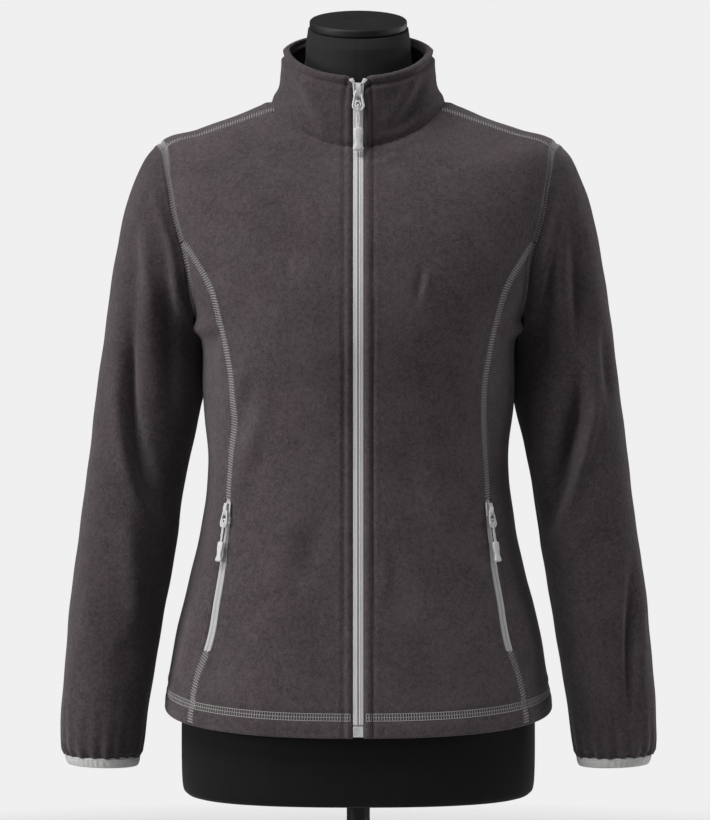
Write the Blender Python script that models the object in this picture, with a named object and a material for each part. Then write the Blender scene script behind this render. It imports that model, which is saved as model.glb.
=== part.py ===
"""A fleece zip jacket worn on a limbless dress form with a pole and a round base.

Metres, +Z up, front towards -Y, wearer's left at +X. The origin is the middle of the base's underside.
A cloth surface is read at a level (a real row number of its table of rings) and a turn (the angle
round the ring, 0 at the front middle, a quarter turn at the +X side). Each piece is a net of such
places, given a wall on its inner side and moved back from its seams.
"""
import math

import bmesh
import bpy
import numpy as np
from mathutils import Matrix, Vector

# Cloth
FLEECE = 0.002
BINDING = 0.0025
COLLAR_WALL = 0.006
COLLAR_SEAM_WALL = 0.0025
HALF_SEAM = 0.00015
CLEAR = 0.0003

# Rings of the body of the jacket, one row for each level, hem to neck seam.
# side height, front height, back height, side y, half width, front depth, back depth, roundness, fall
BODY = (
    (0.3150, 0.2953, 0.2930, 0.000, 0.2005, 0.1300, 0.115, 2.40, 1.0),  # 0 hem
    (0.3520, 0.3400, 0.3400, 0.000, 0.1946, 0.1280, 0.117, 2.40, 1.0),
    (0.4000, 0.3940, 0.3940, 0.000, 0.1860, 0.1245, 0.116, 2.40, 1.0),  # 2 hip
    (0.4500, 0.4460, 0.4460, 0.000, 0.1735, 0.1205, 0.108, 2.40, 1.0),
    (0.5000, 0.4980, 0.4980, 0.000, 0.1621, 0.1175, 0.100, 2.35, 1.0),
    (0.5650, 0.5650, 0.5650, 0.000, 0.1545, 0.1160, 0.093, 2.30, 1.0),  # 5 waist
    (0.6300, 0.6300, 0.6300, 0.000, 0.1605, 0.1225, 0.096, 2.30, 1.1),
    (0.6800, 0.6780, 0.6820, 0.000, 0.1610, 0.1310, 0.101, 2.30, 1.2),  # 7 bust
    (0.7080, 0.7050, 0.7120, 0.000, 0.1655, 0.1335, 0.104, 2.30, 1.3),  # 8 armpit
    (0.7450, 0.7380, 0.7500, 0.000, 0.1840, 0.1325, 0.107, 2.35, 1.5),
    (0.7900, 0.7750, 0.7950, 0.002, 0.1970, 0.1270, 0.108, 2.40, 1.6),  # 10 half way up the armhole
    (0.8450, 0.8120, 0.8420, 0.005, 0.2065, 0.1180, 0.103, 2.50, 1.8),
    (0.8963, 0.8450, 0.8840, 0.008, 0.2047, 0.1060, 0.093, 2.50, 1.8),  # 12 shoulder tip
    (0.9113, 0.8620, 0.9030, 0.008, 0.1660, 0.0955, 0.082, 2.30, 1.8),
    (0.9258, 0.8750, 0.9190, 0.006, 0.1260, 0.0850, 0.070, 2.15, 1.7),
    (0.9400, 0.8850, 0.9320, 0.002, 0.0905, 0.0770, 0.060, 2.00, 1.5),  # 15 neck seam
)
NECK_LEVEL = len(BODY) - 1

# Rings of the collar, neck seam to top edge, in the same columns.
COLLAR = (
    BODY[-1],
    (0.9540, 0.9030, 0.9540, 0.001, 0.0826, 0.0775, 0.0610, 2.0, 1.4),
    (0.9690, 0.9210, 0.9760, 0.000, 0.0803, 0.0780, 0.0620, 2.0, 1.2),
    (0.9835, 0.9390, 0.9985, 0.000, 0.0788, 0.0785, 0.0625, 2.0, 1.1),
    (0.9962, 0.9565, 1.0195, 0.000, 0.0756, 0.0785, 0.0625, 2.0, 1.0),
)
COLLAR_TOP = len(COLLAR) - 1

# Seams of the side panel: height and distance from the middle.
FRONT_SEAM = (
    (0.295, 0.1700),
    (0.330, 0.1664),
    (0.357, 0.1605),
    (0.378, 0.1525),
    (0.430, 0.1422),
    (0.461, 0.1370),
    (0.502, 0.1315),
    (0.540, 0.1295),
    (0.590, 0.1266),
    (0.650, 0.1275),
    (0.705, 0.1381),
    (0.746, 0.1499),
    (0.770, 0.1637),
    (0.800, 0.1835),
)
BACK_SEAM = (
    (0.290, 0.1480),
    (0.400, 0.1380),
    (0.565, 0.1130),
    (0.650, 0.1180),
    (0.720, 0.1380),
    (0.770, 0.1640),
    (0.810, 0.1900),
)

# The armhole, by the angle round it: 0 at the shoulder tip, + to the front, 180 degrees at the armpit.
ARMHOLE_LEVEL = 10.0
ARMHOLE_RISE = 2.0
ARMHOLE_FRONT = 0.53
ARMHOLE_BACK = 0.50
ARMHOLE_FULLNESS = 0.65
ARMHOLE_HALF_DEPTH = 0.062
FRONT_JOIN = math.radians(87)
BACK_JOIN = math.radians(-88)
SHOULDER_CORNER = math.radians(18)
SHOULDER_AT_NECK = 0.28

# Pocket zips in the front seams.
SLOT_LEVELS = (1.55, 4.5)
SLOT_END = 0.03
SLOT_HALF_WIDTH = 0.0037

# Rings of the sleeve below the armhole.
# outer x, outer height, inner x, inner height, middle y, half depth, share of the armhole's outline kept
SLEEVE = (
    (0.2105, 0.8930, 0.1672, 0.7045, -0.005, 0.0630, 0.97),
    (0.2218, 0.8788, 0.1686, 0.7020, -0.005, 0.0638, 0.90),
    (0.2350, 0.8477, 0.1688, 0.6980, -0.005, 0.0650, 0.70),
    (0.2438, 0.8167, 0.1668, 0.6920, -0.005, 0.0645, 0.45),
    (0.2500, 0.7856, 0.1645, 0.6840, -0.004, 0.0635, 0.20),
    (0.2552, 0.7530, 0.1612, 0.6735, -0.004, 0.0620, 0.05),
    (0.2598, 0.7180, 0.1598, 0.6600, -0.004, 0.0600, 0.0),
    (0.2646, 0.6820, 0.1602, 0.6435, -0.005, 0.0580, 0.0),
    (0.2693, 0.6440, 0.1634, 0.6210, -0.007, 0.0560, 0.0),
    (0.2746, 0.5993, 0.1712, 0.5830, -0.010, 0.0535, 0.0),
    (0.2796, 0.5560, 0.1790, 0.5400, -0.014, 0.0510, 0.0),
    (0.2856, 0.5062, 0.1855, 0.4910, -0.018, 0.0480, 0.0),
    (0.2914, 0.4600, 0.1927, 0.4460, -0.021, 0.0460, 0.0),
    (0.2965, 0.4130, 0.2010, 0.4000, -0.024, 0.0430, 0.0),
    (0.3011, 0.3600, 0.2094, 0.3470, -0.027, 0.0405, 0.0),
    (0.3040, 0.3150, 0.2158, 0.3040, -0.029, 0.0385, 0.0),
    (0.3040, 0.2822, 0.2198, 0.2770, -0.030, 0.0360, 0.0),
    (0.3001, 0.2683, 0.2236, 0.2660, -0.030, 0.0330, 0.0),
)
SLEEVE_END = len(SLEEVE)
CUFF_BOTTOM = (0.2962, 0.2585, 0.2266, 0.2562, -0.030, 0.0315, 0.0)
# The inner side is flattened where the sleeve hangs against the body.
SLEEVE_FLAT = 0.55
SLEEVE_FLAT_RINGS = (5.0, 9.5)
# There its innermost line lies behind the widest part of the body.
SLEEVE_LEAN = 0.036
SLEEVE_LEAN_RINGS = (2.0, 11.0)
CUFF_PROUD = 0.0004
GATHERS = 18
GATHER_HEIGHT = 0.0008
GATHER_REACH = 2.2

# Largest folds: a ridge or trough (height + or -) along a line on the front or back of the body.
# +1 front or -1 back, start x, start height, end x, end height, half width, height
BODY_FOLDS = (
    (1, -0.096, 0.630, -0.128, 0.470, 0.012, 0.0022),
    (1, -0.040, 0.545, -0.104, 0.395, 0.016, -0.0020),
    (1, 0.102, 0.600, 0.126, 0.480, 0.012, 0.0018),
    (1, 0.060, 0.520, 0.092, 0.400, 0.018, -0.0016),
    (1, -0.150, 0.690, -0.145, 0.610, 0.010, 0.0020),
    (1, 0.150, 0.690, 0.145, 0.610, 0.010, 0.0020),
    (1, -0.180, 0.6980, -0.136, 0.6920, 0.0060, 0.0040),
    (1, 0.180, 0.6980, 0.136, 0.6920, 0.0060, 0.0040),
    (-1, -0.080, 0.640, -0.110, 0.480, 0.016, 0.0022),
    (-1, 0.070, 0.650, 0.105, 0.470, 0.016, 0.0022),
    (-1, 0.000, 0.600, 0.010, 0.440, 0.018, -0.0020),
)

# Folds of a sleeve: start ring, start turn in degrees, end ring, end turn, half width, height.
SLEEVE_FOLDS = (
    (2.5, 108, 10.5, 128, 0.011, -0.0060),
    (2.5, 55, 13.0, 75, 0.016, -0.0040),
    (3.5, 132, 9.0, 150, 0.010, 0.0030),
    (9.0, 100, 13.5, 150, 0.014, -0.0030),
    (4.0, -100, 11.0, -130, 0.014, -0.0045),
    (9.5, -60, 14.0, -120, 0.014, -0.0030),
)

# Front zip
ZIP_HALF_GAP = 0.0055
TAPE_INNER = 0.0004
TAPE_OUTER = 0.0052
TAPE_SINK = 0.0006
TAPE_THICK = 0.0012
TAPE_START_LEVEL = 0.30
TAPE_END_LEVEL = 3.78
BOX_SIZE = (0.0104, 0.0026, 0.0106)
BOX_HEIGHT = 0.3021
POCKET_TAPE_HALF = 0.0034
TAPE_END_GAP = 0.0005
POCKET_SLIDER_PROUD = 0.0004

# Slider and pull, the same on all three zips apart from their scale
SLIDER_PLATE = (0.0088, 0.0020, 0.0130)
SLIDER_ARCH = (0.0030, 0.0042, 0.0096)
SLIDER_WINDOW = (0.0060, 0.0030, 0.0056)
PULL_RING_LENGTH = 0.0260
PULL_RING_TOP = 0.0032
PULL_RING_FOOT = 0.0046
PULL_RING_RIM = 0.0012
PULL_RING_THICK = 0.0018
PULL_BAR_OFFSET = 0.0006
# distance below the axis, half width, half thickness
PULL_CORD = (
    (0.0205, 0.0010, 0.0010),
    (0.0220, 0.0014, 0.0014),
    (0.0400, 0.0014, 0.0014),
    (0.0410, 0.0034, 0.0019),
    (0.0430, 0.0042, 0.0022),
    (0.0500, 0.0034, 0.0020),
    (0.0570, 0.0040, 0.0022),
    (0.0620, 0.0048, 0.0024),
    (0.0640, 0.0042, 0.0019),
)
CENTRE_SLIDER_LEVEL = 3.15
POCKET_SLIDER_LEVEL = 4.33
POCKET_SCALE = 0.92

# Dress form
# level, side ease, front ease, back ease
FORM_EASE = (
    (0.6, 0.0140, 0.0130, 0.0100),
    (2.0, 0.0110, 0.0080, 0.0080),
    (3.5, 0.0090, 0.0070, 0.0080),
    (5.0, 0.0090, 0.0080, 0.0090),
    (6.5, 0.0060, 0.0060, 0.0060),
    (7.5, 0.0050, 0.0050, 0.0045),
    (9.0, 0.0130, 0.0045, 0.0040),
    (10.5, 0.0170, 0.0045, 0.0035),
    (11.5, 0.0120, 0.0040, 0.0030),
    (12.2, 0.0040, 0.0035, 0.0025),
    (12.9, 0.0018, 0.0025, 0.0020),
    (14.0, 0.0018, 0.0025, 0.0020),
    (14.9, 0.0035, 0.0045, 0.0035),
)
FORM_LEVELS = (0.6, 1.5, 2.4, 3.3, 4.2, 5.0, 5.8, 6.5, 7.1, 7.7, 8.3, 8.9, 9.5, 10.1, 10.7, 11.2, 11.6,
               11.95, 12.25, 12.6, 13.0, 13.5, 14.0, 14.5, 14.9)
FORM_COLUMNS = 28
# hip of the form below the hem, and the foot of its neck, in the columns of BODY
FORM_HIP = (
    (0.2235, 0.2235, 0.2235, 0.000, 0.1700, 0.1040, 0.097, 2.4, 1.0),
    (0.2265, 0.2265, 0.2265, 0.000, 0.1770, 0.1100, 0.103, 2.4, 1.0),
    (0.2370, 0.2370, 0.2370, 0.000, 0.1815, 0.1130, 0.106, 2.4, 1.0),
    (0.2850, 0.2850, 0.2850, 0.000, 0.1825, 0.1130, 0.106, 2.4, 1.0),
)
FORM_NECK_FOOT = (
    (0.9480, 0.9060, 0.9480, 0.001, 0.0700, 0.0600, 0.050, 2.0, 1.3),
    (0.9620, 0.9360, 0.9660, 0.000, 0.0600, 0.0560, 0.052, 2.0, 1.1),
)
# neck: height of the middle, middle y, radius, forward tilt in degrees
FORM_NECK = (
    (0.9830, 0.000, 0.0550, 4.0),
    (0.9985, -0.001, 0.0542, 12.0),
    (1.0145, -0.0005, 0.0520, 20.0),
)
CAP_CENTRE = (0.0, -0.0020, 1.0192)
CAP_RADIUS = 0.0505
CAP_THICK = 0.0085
CAP_TILT = math.radians(20)
POLE_RADIUS = 0.012
BASE_RADIUS = 0.150
BASE_THICK = 0.008
BASE_EDGE = 0.002

# Rows and columns of the nets
SLOT_ROWS = 5
FRONT_NECK_COLUMNS = 6
BACK_NECK_COLUMNS = 12
SHOULDER_COLUMNS = 4
SIDE_COLUMNS = 8
ARMHOLE_FRONT_ROWS = 8
ARMHOLE_BACK_ROWS = 7
ARMHOLE_TOP_ROWS = 2
COLLAR_ROWS = 5
YOKE_SPREAD = 1.6
EDGE_REACH = 2.5

RIDGE_SOFTNESS = 0.08
FOLD_FADE = 0.4
STEP = 0.001


# ---------------------------------------------------------------------------------------- surfaces

def unit(vectors):
    """Each vector of an array at length 1."""
    return vectors / np.maximum(np.linalg.norm(vectors, axis=-1, keepdims=True), 1e-12)


def through(keys, rows, at):
    """Smooth values between the rows of a table, at any keys."""
    keys = np.asarray(keys, dtype=float)
    rows = np.asarray(rows, dtype=float)
    at = np.asarray(at, dtype=float)
    slopes = np.gradient(rows, keys, axis=0)
    low = np.clip(np.searchsorted(keys, at, side="right") - 1, 0, len(keys) - 2)
    span = keys[low + 1] - keys[low]
    t = (at - keys[low]) / span
    if rows.ndim > 1:
        span = span[..., None]
        t = t[..., None]
    start, end = rows[low], rows[low + 1]
    leave, arrive = slopes[low] * span, slopes[low + 1] * span
    turn_in = t * t * (3 - 2 * t)
    return start + (end - start) * turn_in + leave * t * (1 - t) ** 2 - arrive * t * t * (1 - t)


def ring(table, level, turn):
    """Place on a table of rings."""
    columns = np.moveaxis(through(np.arange(len(table)), table, level), -1, 0)
    side_z, front_z, back_z, side_y, half_width, front_depth, back_depth, roundness, fall = columns
    reach = (np.abs(np.sin(turn)) ** roundness + np.abs(np.cos(turn)) ** roundness) ** (1 / roundness)
    toward = np.abs(np.cos(turn)) / reach
    ahead = np.cos(turn) > 0
    soft = RIDGE_SOFTNESS ** fall
    drop = (toward ** 2 + RIDGE_SOFTNESS ** 2) ** (fall / 2) - soft
    drop = drop / ((1 + RIDGE_SOFTNESS ** 2) ** (fall / 2) - soft)
    x = half_width * np.sin(turn) / reach
    y = side_y + np.where(ahead, -front_depth, back_depth) * toward
    z = side_z + (np.where(ahead, front_z, back_z) - side_z) * drop
    return np.stack([x, y, z], axis=-1)


def outward(surface, level, turn):
    """Direction out of a surface."""
    along_turn = surface(level, turn + STEP) - surface(level, turn - STEP)
    along_level = surface(level + STEP, turn) - surface(level - STEP, turn)
    return unit(np.cross(along_turn, along_level))


def plain_body(level, turn):
    return ring(BODY, level, turn)


def fold_height(across, along, width, height):
    """A soft ridge, highest half way along its line and gone at both ends."""
    fade = np.sin(np.pi * np.clip(along, 0, 1)) ** 1.5
    return height * fade * np.exp(-(across / width) ** 2)


def below_armhole(level, turn):
    """1 well below the armhole, 0 at its seam and above."""
    n = roundness_at(BODY, level)
    reach = (np.abs(np.sin(turn)) ** n + np.abs(np.cos(turn)) ** n) ** (1 / n)
    share = np.clip(np.abs(np.cos(turn)) / reach / ARMHOLE_FRONT, 0, 1)
    low = ARMHOLE_LEVEL - ARMHOLE_RISE * np.sqrt(1 - share ** (2 / ARMHOLE_FULLNESS))
    return np.clip((low - level) / FOLD_FADE, 0, 1)


def body(level, turn):
    """Outer surface of the body of the jacket, with its folds."""
    place = plain_body(level, turn)
    push = np.zeros(place.shape[:-1])
    for face, x0, z0, x1, z1, width, height in BODY_FOLDS:
        run = math.hypot(x1 - x0, z1 - z0)
        along = ((place[..., 0] - x0) * (x1 - x0) + (place[..., 2] - z0) * (z1 - z0)) / run ** 2
        across = ((place[..., 0] - x0) * (z1 - z0) - (place[..., 2] - z0) * (x1 - x0)) / run
        shows = np.cos(turn) * face > 0
        push += np.where(shows, fold_height(across, along, width, height), 0)
    push = push * below_armhole(level, turn)
    return place + push[..., None] * outward(plain_body, level, turn)


def collar(level, turn):
    return ring(COLLAR, level, turn)


def roundness_at(table, level):
    return through(np.arange(len(table)), table, level)[..., 7]


def turn_at_x(table, level, x):
    """Turn at which the front of a ring is x from the middle."""
    n = roundness_at(table, level)
    half_width = through(np.arange(len(table)), table, level)[..., 4]
    share = np.clip(x / half_width, 0, 1) ** n
    return np.arctan2(share ** (1 / n), (1 - share) ** (1 / n))


def turn_at_share(level, share, face):
    """Turn at which the body reaches this share of its front or back depth."""
    n = roundness_at(BODY, level)
    return np.arctan2((1 - share ** n) ** (1 / n), face * share)


def seam_turn(seam, level, face):
    """Turn at which a seam crosses a level, on the front (1) or the back (-1)."""
    heights, distances = np.transpose(seam)
    x = np.full(np.shape(level), distances.mean())
    for _ in range(12):
        turn = turn_at_x(BODY, level, x)
        turn = turn if face > 0 else math.pi - turn
        x = through(heights, distances, plain_body(level, turn)[..., 2])
    return turn


def armhole(angle):
    """Level and turn of the armhole seam."""
    level = ARMHOLE_LEVEL + ARMHOLE_RISE * np.cos(angle)
    ahead = np.sin(angle) >= 0
    share = np.where(ahead, ARMHOLE_FRONT, ARMHOLE_BACK) * np.abs(np.sin(angle)) ** ARMHOLE_FULLNESS
    return level, turn_at_share(level, share, np.where(ahead, 1, -1))


def armhole_tables():
    """Turn round the sleeve, by arc length, for the angles round the front and back of the armhole."""
    tables = {}
    for face in (1, -1):
        angles = np.linspace(0, math.pi, 361)
        places = plain_body(*armhole(face * angles))
        lengths = np.concatenate([[0], np.cumsum(np.linalg.norm(np.diff(places, axis=0), axis=1))])
        tables[face] = (angles, lengths / lengths[-1] * math.pi)
    return tables


ARMHOLE_TABLES = armhole_tables()


def sleeve_turn(angle):
    """Turn round the sleeve that meets this angle of the armhole."""
    front = np.interp(np.abs(angle), *ARMHOLE_TABLES[1])
    back = np.interp(np.abs(angle), *ARMHOLE_TABLES[-1])
    return np.where(angle >= 0, front, -back)


def armhole_angle(turn):
    """Angle of the armhole that meets this turn of the sleeve."""
    front = np.interp(np.abs(turn), *reversed(ARMHOLE_TABLES[1]))
    back = np.interp(np.abs(turn), *reversed(ARMHOLE_TABLES[-1]))
    return np.where(turn >= 0, front, -back)


def wrapped(turn):
    """A turn brought between minus and plus half a turn."""
    return (turn + math.pi) % (2 * math.pi) - math.pi


def hump(value, start, end):
    """A smooth hump, 0 at both ends and 1 half way."""
    return math.sin(math.pi * min(max((value - start) / (end - start), 0), 1)) ** 2


def sleeve_rings(turn):
    """Places of all the sleeve's rings at some turns, armhole first.

    The first rings keep part of the armhole's own outline: narrow at the top and bowed inwards.
    """
    hole = plain_body(*armhole(armhole_angle(wrapped(turn))))
    tip, pit = plain_body(*armhole(np.array([0, math.pi])))
    rise = (hole[..., 2] - pit[2]) / (tip[2] - pit[2])
    bow = hole[..., 0] - (pit[0] + (tip[0] - pit[0]) * rise)
    rings = [hole]
    start, end = SLEEVE_FLAT_RINGS
    for number, row in enumerate(SLEEVE + (CUFF_BOTTOM,), start=1):
        outer_x, outer_z, inner_x, inner_z, middle_y, half_depth, kept = row
        flat = hump(number, start - 3, end + 3)
        power = 1 + (SLEEVE_FLAT - 1) * flat
        reach = np.cos(turn)
        reach = np.where(reach < 0, -np.abs(reach) ** power, reach)
        share = kept * rise + (1 - kept) * (1 + reach) / 2
        lean = SLEEVE_LEAN * hump(number, *SLEEVE_LEAN_RINGS)
        x = inner_x + (outer_x - inner_x) * share + bow * kept
        y = kept * hole[..., 1] * half_depth / ARMHOLE_HALF_DEPTH
        y = y + (1 - kept) * (middle_y - half_depth * np.sin(turn))
        y = y + lean * np.clip(1 - share, 0, 1) ** 2
        z = inner_z + (outer_z - inner_z) * share
        rings.append(np.stack([x, y, z], axis=-1))
    return np.stack(rings)


def plain_sleeve(level, turn):
    """Surface of the +X sleeve without folds."""
    level, turn = np.broadcast_arrays(np.asarray(level, dtype=float), np.asarray(turn, dtype=float))
    rings = sleeve_rings(turn.ravel())
    slopes = np.gradient(rings, axis=0)
    flat = level.ravel()
    low = np.clip(np.floor(flat).astype(int), 0, len(rings) - 2)
    column = np.arange(len(flat))
    t = (flat - low)[:, None]
    start, end = rings[low, column], rings[low + 1, column]
    leave, arrive = slopes[low, column], slopes[low + 1, column]
    place = start + (end - start) * t * t * (3 - 2 * t)
    place = place + leave * t * (1 - t) ** 2 - arrive * t * t * (1 - t)
    return place.reshape(level.shape + (3,))


def sleeve(level, turn):
    """Outer surface of the +X sleeve, with its folds and the gathers above the cuff."""
    level, turn = np.broadcast_arrays(np.asarray(level, dtype=float), np.asarray(turn, dtype=float))
    place = plain_sleeve(level, turn)
    push = np.zeros(level.shape)
    half = 0.06
    for start_level, start_turn, end_level, end_turn, width, height in SLEEVE_FOLDS:
        along = (level - start_level) / (end_level - start_level)
        line = np.radians(start_turn + (end_turn - start_turn) * np.clip(along, 0, 1))
        across = wrapped(turn - line) * half
        push += fold_height(across, along, width, height)
    near_cuff = np.clip(1 - (SLEEVE_END - level) / GATHER_REACH, 0, 1) ** 2
    push += GATHER_HEIGHT * near_cuff * np.sin(GATHERS * turn)
    return place + push[..., None] * outward(plain_sleeve, level, turn)


def mirrored(places, side):
    return places * np.array([side, 1.0, 1.0])


# -------------------------------------------------------------------------------------------- nets

def spaced(surface, levels, turns, columns):
    """Columns + 1 places at even distances along a row given by many levels and turns."""
    steps = np.linalg.norm(np.diff(surface(levels, turns), axis=0), axis=1)
    lengths = np.concatenate([[0], np.cumsum(steps)])
    at = np.linspace(0, lengths[-1], columns + 1)
    return np.interp(at, lengths, levels), np.interp(at, lengths, turns)


def seam_levels():
    """Levels of the rows below the armhole, the same on both sides of the front seam."""
    low, high = SLOT_LEVELS
    join = ARMHOLE_LEVEL + ARMHOLE_RISE * math.cos(FRONT_JOIN)
    below = np.linspace(0, low, 4)
    within = np.linspace(low + SLOT_END, high - SLOT_END, SLOT_ROWS + 1)
    above = np.linspace(high, join, 8)
    return np.concatenate([below, within, above])


def slot_gaps():
    """Half gap of the front seam at each of its rows."""
    levels = seam_levels()
    low, high = SLOT_LEVELS
    inside = (levels > low + SLOT_END / 2) & (levels < high - SLOT_END / 2)
    return np.where(inside, SLOT_HALF_WIDTH, HALF_SEAM)


def front_armhole_angles():
    return np.linspace(FRONT_JOIN, SHOULDER_CORNER, ARMHOLE_FRONT_ROWS + 1)


def back_armhole_angles():
    up = np.linspace(BACK_JOIN, 0, ARMHOLE_BACK_ROWS + 1)
    over = np.linspace(0, SHOULDER_CORNER, ARMHOLE_TOP_ROWS + 1)
    return np.concatenate([up, over[1:]])


def side_armhole_angles():
    front = np.linspace(FRONT_JOIN, math.pi, SIDE_COLUMNS // 2 + 1)
    back = np.linspace(-math.pi, BACK_JOIN, SIDE_COLUMNS // 2 + 1)
    return np.concatenate([front, back[1:]])


def shoulder_seam():
    """Levels and turns of the shoulder seam, armhole to neck."""
    start, _ = armhole(SHOULDER_CORNER)
    levels = np.linspace(start, NECK_LEVEL, 81)
    first = ARMHOLE_FRONT * math.sin(SHOULDER_CORNER) ** ARMHOLE_FULLNESS
    shares = np.linspace(first, SHOULDER_AT_NECK, 81)
    return spaced(plain_body, levels, turn_at_share(levels, shares, 1), SHOULDER_COLUMNS)


def neck_seam(first, last, columns):
    """Levels and turns along the neck seam."""
    return spaced(plain_body, np.full(161, float(NECK_LEVEL)), np.linspace(first, last, 161), columns)


def patch(bottom, top, left, right):
    """Levels and turns filled in between four edges, each a pair of arrays."""
    bottom, top, left, right = (np.stack(edge, axis=-1) for edge in (bottom, top, left, right))
    u = np.linspace(0, 1, len(bottom))[None, :, None]
    v = np.linspace(0, 1, len(left))[:, None, None] ** YOKE_SPREAD
    net = (1 - v) * bottom[None] + v * top[None]
    net = net + (left[:, None] - net[:, :1]) * (1 - u) ** EDGE_REACH
    net = net + (right[:, None] - net[:, -1:]) * u ** EDGE_REACH
    return net[..., 0], net[..., 1]


def front_net():
    """Levels and turns of the front panel's net."""
    low = seam_levels()
    arm = armhole(front_armhole_angles())
    edge_turns = seam_turn(FRONT_SEAM, low, 1)
    edge_turns[-1] = arm[1][0]
    columns = FRONT_NECK_COLUMNS + SHOULDER_COLUMNS
    levels, turns = [], []
    for level, turn in zip(low, edge_turns):
        first = turn_at_x(BODY, level, ZIP_HALF_GAP)
        row = spaced(plain_body, np.full(81, level), np.linspace(first, turn, 81), columns)
        levels.append(row[0])
        turns.append(row[1])
    shoulder = shoulder_seam()
    neck = neck_seam(turn_at_x(BODY, NECK_LEVEL, ZIP_HALF_GAP), shoulder[1][-1], FRONT_NECK_COLUMNS)
    top = [np.concatenate([neck[k], shoulder[k][::-1][1:]]) for k in (0, 1)]
    zip_levels = np.linspace(0, 1, len(arm[0])) ** YOKE_SPREAD * (NECK_LEVEL - low[-1]) + low[-1]
    zip_edge = (zip_levels, turn_at_x(BODY, zip_levels, ZIP_HALF_GAP))
    yoke = patch((levels[-1], turns[-1]), top, zip_edge, arm)
    return np.concatenate([levels, yoke[0][1:]]), np.concatenate([turns, yoke[1][1:]])


def back_seam_rows():
    """Levels and turns of the back seam, hem to armhole."""
    join, turn = armhole(BACK_JOIN)
    levels = seam_levels() * (join / seam_levels()[-1])
    turns = seam_turn(BACK_SEAM, levels, -1)
    turns[-1] = turn
    return levels, turns


def side_net():
    """Levels and turns of the side panel's net, front seam to back seam."""
    front_levels = seam_levels()
    front_turns = seam_turn(FRONT_SEAM, front_levels, 1)
    front_turns[-1] = armhole(FRONT_JOIN)[1]
    back_levels, back_turns = back_seam_rows()
    top_levels, top_turns = armhole(side_armhole_angles())
    left = np.stack([front_levels, front_turns], axis=-1)
    right = np.stack([back_levels, back_turns], axis=-1)
    top = np.stack([top_levels, top_turns], axis=-1)
    _, hem_turns = spaced(plain_body, np.zeros(81), np.linspace(front_turns[0], back_turns[0], 81),
                          SIDE_COLUMNS)
    bottom = np.stack([np.zeros(SIDE_COLUMNS + 1), hem_turns], axis=-1)
    u = np.linspace(0, 1, SIDE_COLUMNS + 1)[None, :, None]
    v = (front_levels / front_levels[-1])[:, None, None]
    lift = v ** 2
    net = (1 - u) * left[:, None] + u * right[:, None]
    net = net + (1 - v) * (bottom - (1 - u[0]) * bottom[0] - u[0] * bottom[-1])[None]
    net = net + lift * (top - (1 - u[0]) * top[0] - u[0] * top[-1])[None]
    return net[..., 0], net[..., 1]


def back_net():
    """Levels and turns of the back's net, +X edge to -X edge, wrapping over both shoulders."""
    seam_rows, seam_turns = back_seam_rows()
    columns = BACK_NECK_COLUMNS + 2 * SHOULDER_COLUMNS
    levels, turns = [], []
    for level, turn in zip(seam_rows, seam_turns):
        row_turns = np.linspace(turn, 2 * math.pi - turn, 161)
        row = spaced(plain_body, np.full(161, level), row_turns, columns)
        levels.append(row[0])
        turns.append(row[1])
    arm = armhole(back_armhole_angles())
    shoulder = shoulder_seam()
    neck = neck_seam(shoulder[1][-1], 2 * math.pi - shoulder[1][-1], BACK_NECK_COLUMNS)
    top_levels = np.concatenate([shoulder[0], neck[0][1:], shoulder[0][::-1][1:]])
    top_turns = np.concatenate([shoulder[1], neck[1][1:], (2 * math.pi - shoulder[1])[::-1][1:]])
    yoke = patch((levels[-1], turns[-1]), (top_levels, top_turns), arm, (arm[0], 2 * math.pi - arm[1]))
    return np.concatenate([levels, yoke[0][1:]]), np.concatenate([turns, yoke[1][1:]])


def armhole_inward(angles):
    """Directions of the wall at the armhole seam, shared by the body and the sleeve."""
    from_body = outward(plain_body, *armhole(angles))
    from_sleeve = outward(plain_sleeve, np.full(np.shape(angles), 0.05), sleeve_turn(angles))
    return -unit(from_body + from_sleeve)


def neck_inward(turns):
    """Directions of the wall at the neck seam, shared by the body and the collar."""
    level = np.full(np.shape(turns), float(NECK_LEVEL))
    return -unit(outward(plain_body, level - 0.01, turns) + outward(collar, level * 0 + 0.01, turns))


# ------------------------------------------------------------------------------------------ solids

def finish(name, mesh_data, look, smooth_angle=40):
    """An object from a bmesh, shaded smooth up to an angle."""
    mesh = bpy.data.meshes.new(name)
    mesh_data.to_mesh(mesh)
    mesh_data.free()
    mesh.shade_smooth()
    mesh.set_sharp_from_angle(angle=math.radians(smooth_angle))
    mesh.materials.append(look)
    item = bpy.data.objects.new(name, mesh)
    bpy.context.scene.collection.objects.link(item)
    return item


def read_net(net, column, row):
    """Value of an array between its rows and columns."""
    j = min(int(row), net.shape[0] - 2)
    i = min(int(column), net.shape[1] - 2)
    t, s = row - j, column - i
    low = net[j, i] * (1 - s) + net[j, i + 1] * s
    high = net[j + 1, i] * (1 - s) + net[j + 1, i + 1] * s
    return low * (1 - t) + high * t


def edge_gap(edge, vert, layers, gaps, size):
    """Half gap of a boundary edge at one of its ends."""
    column, row = layers
    columns, rows = size
    verts = edge.verts
    if all(v[row] < 0.01 for v in verts):
        return gaps["bottom"]
    if all(v[row] > rows - 0.01 for v in verts):
        return gaps["top"]
    side = gaps["left"] if all(v[column] < 0.01 for v in verts) else gaps["right"]
    if np.ndim(side) == 0:
        return side
    return float(np.interp(vert[row], np.arange(len(side)), side))


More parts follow.
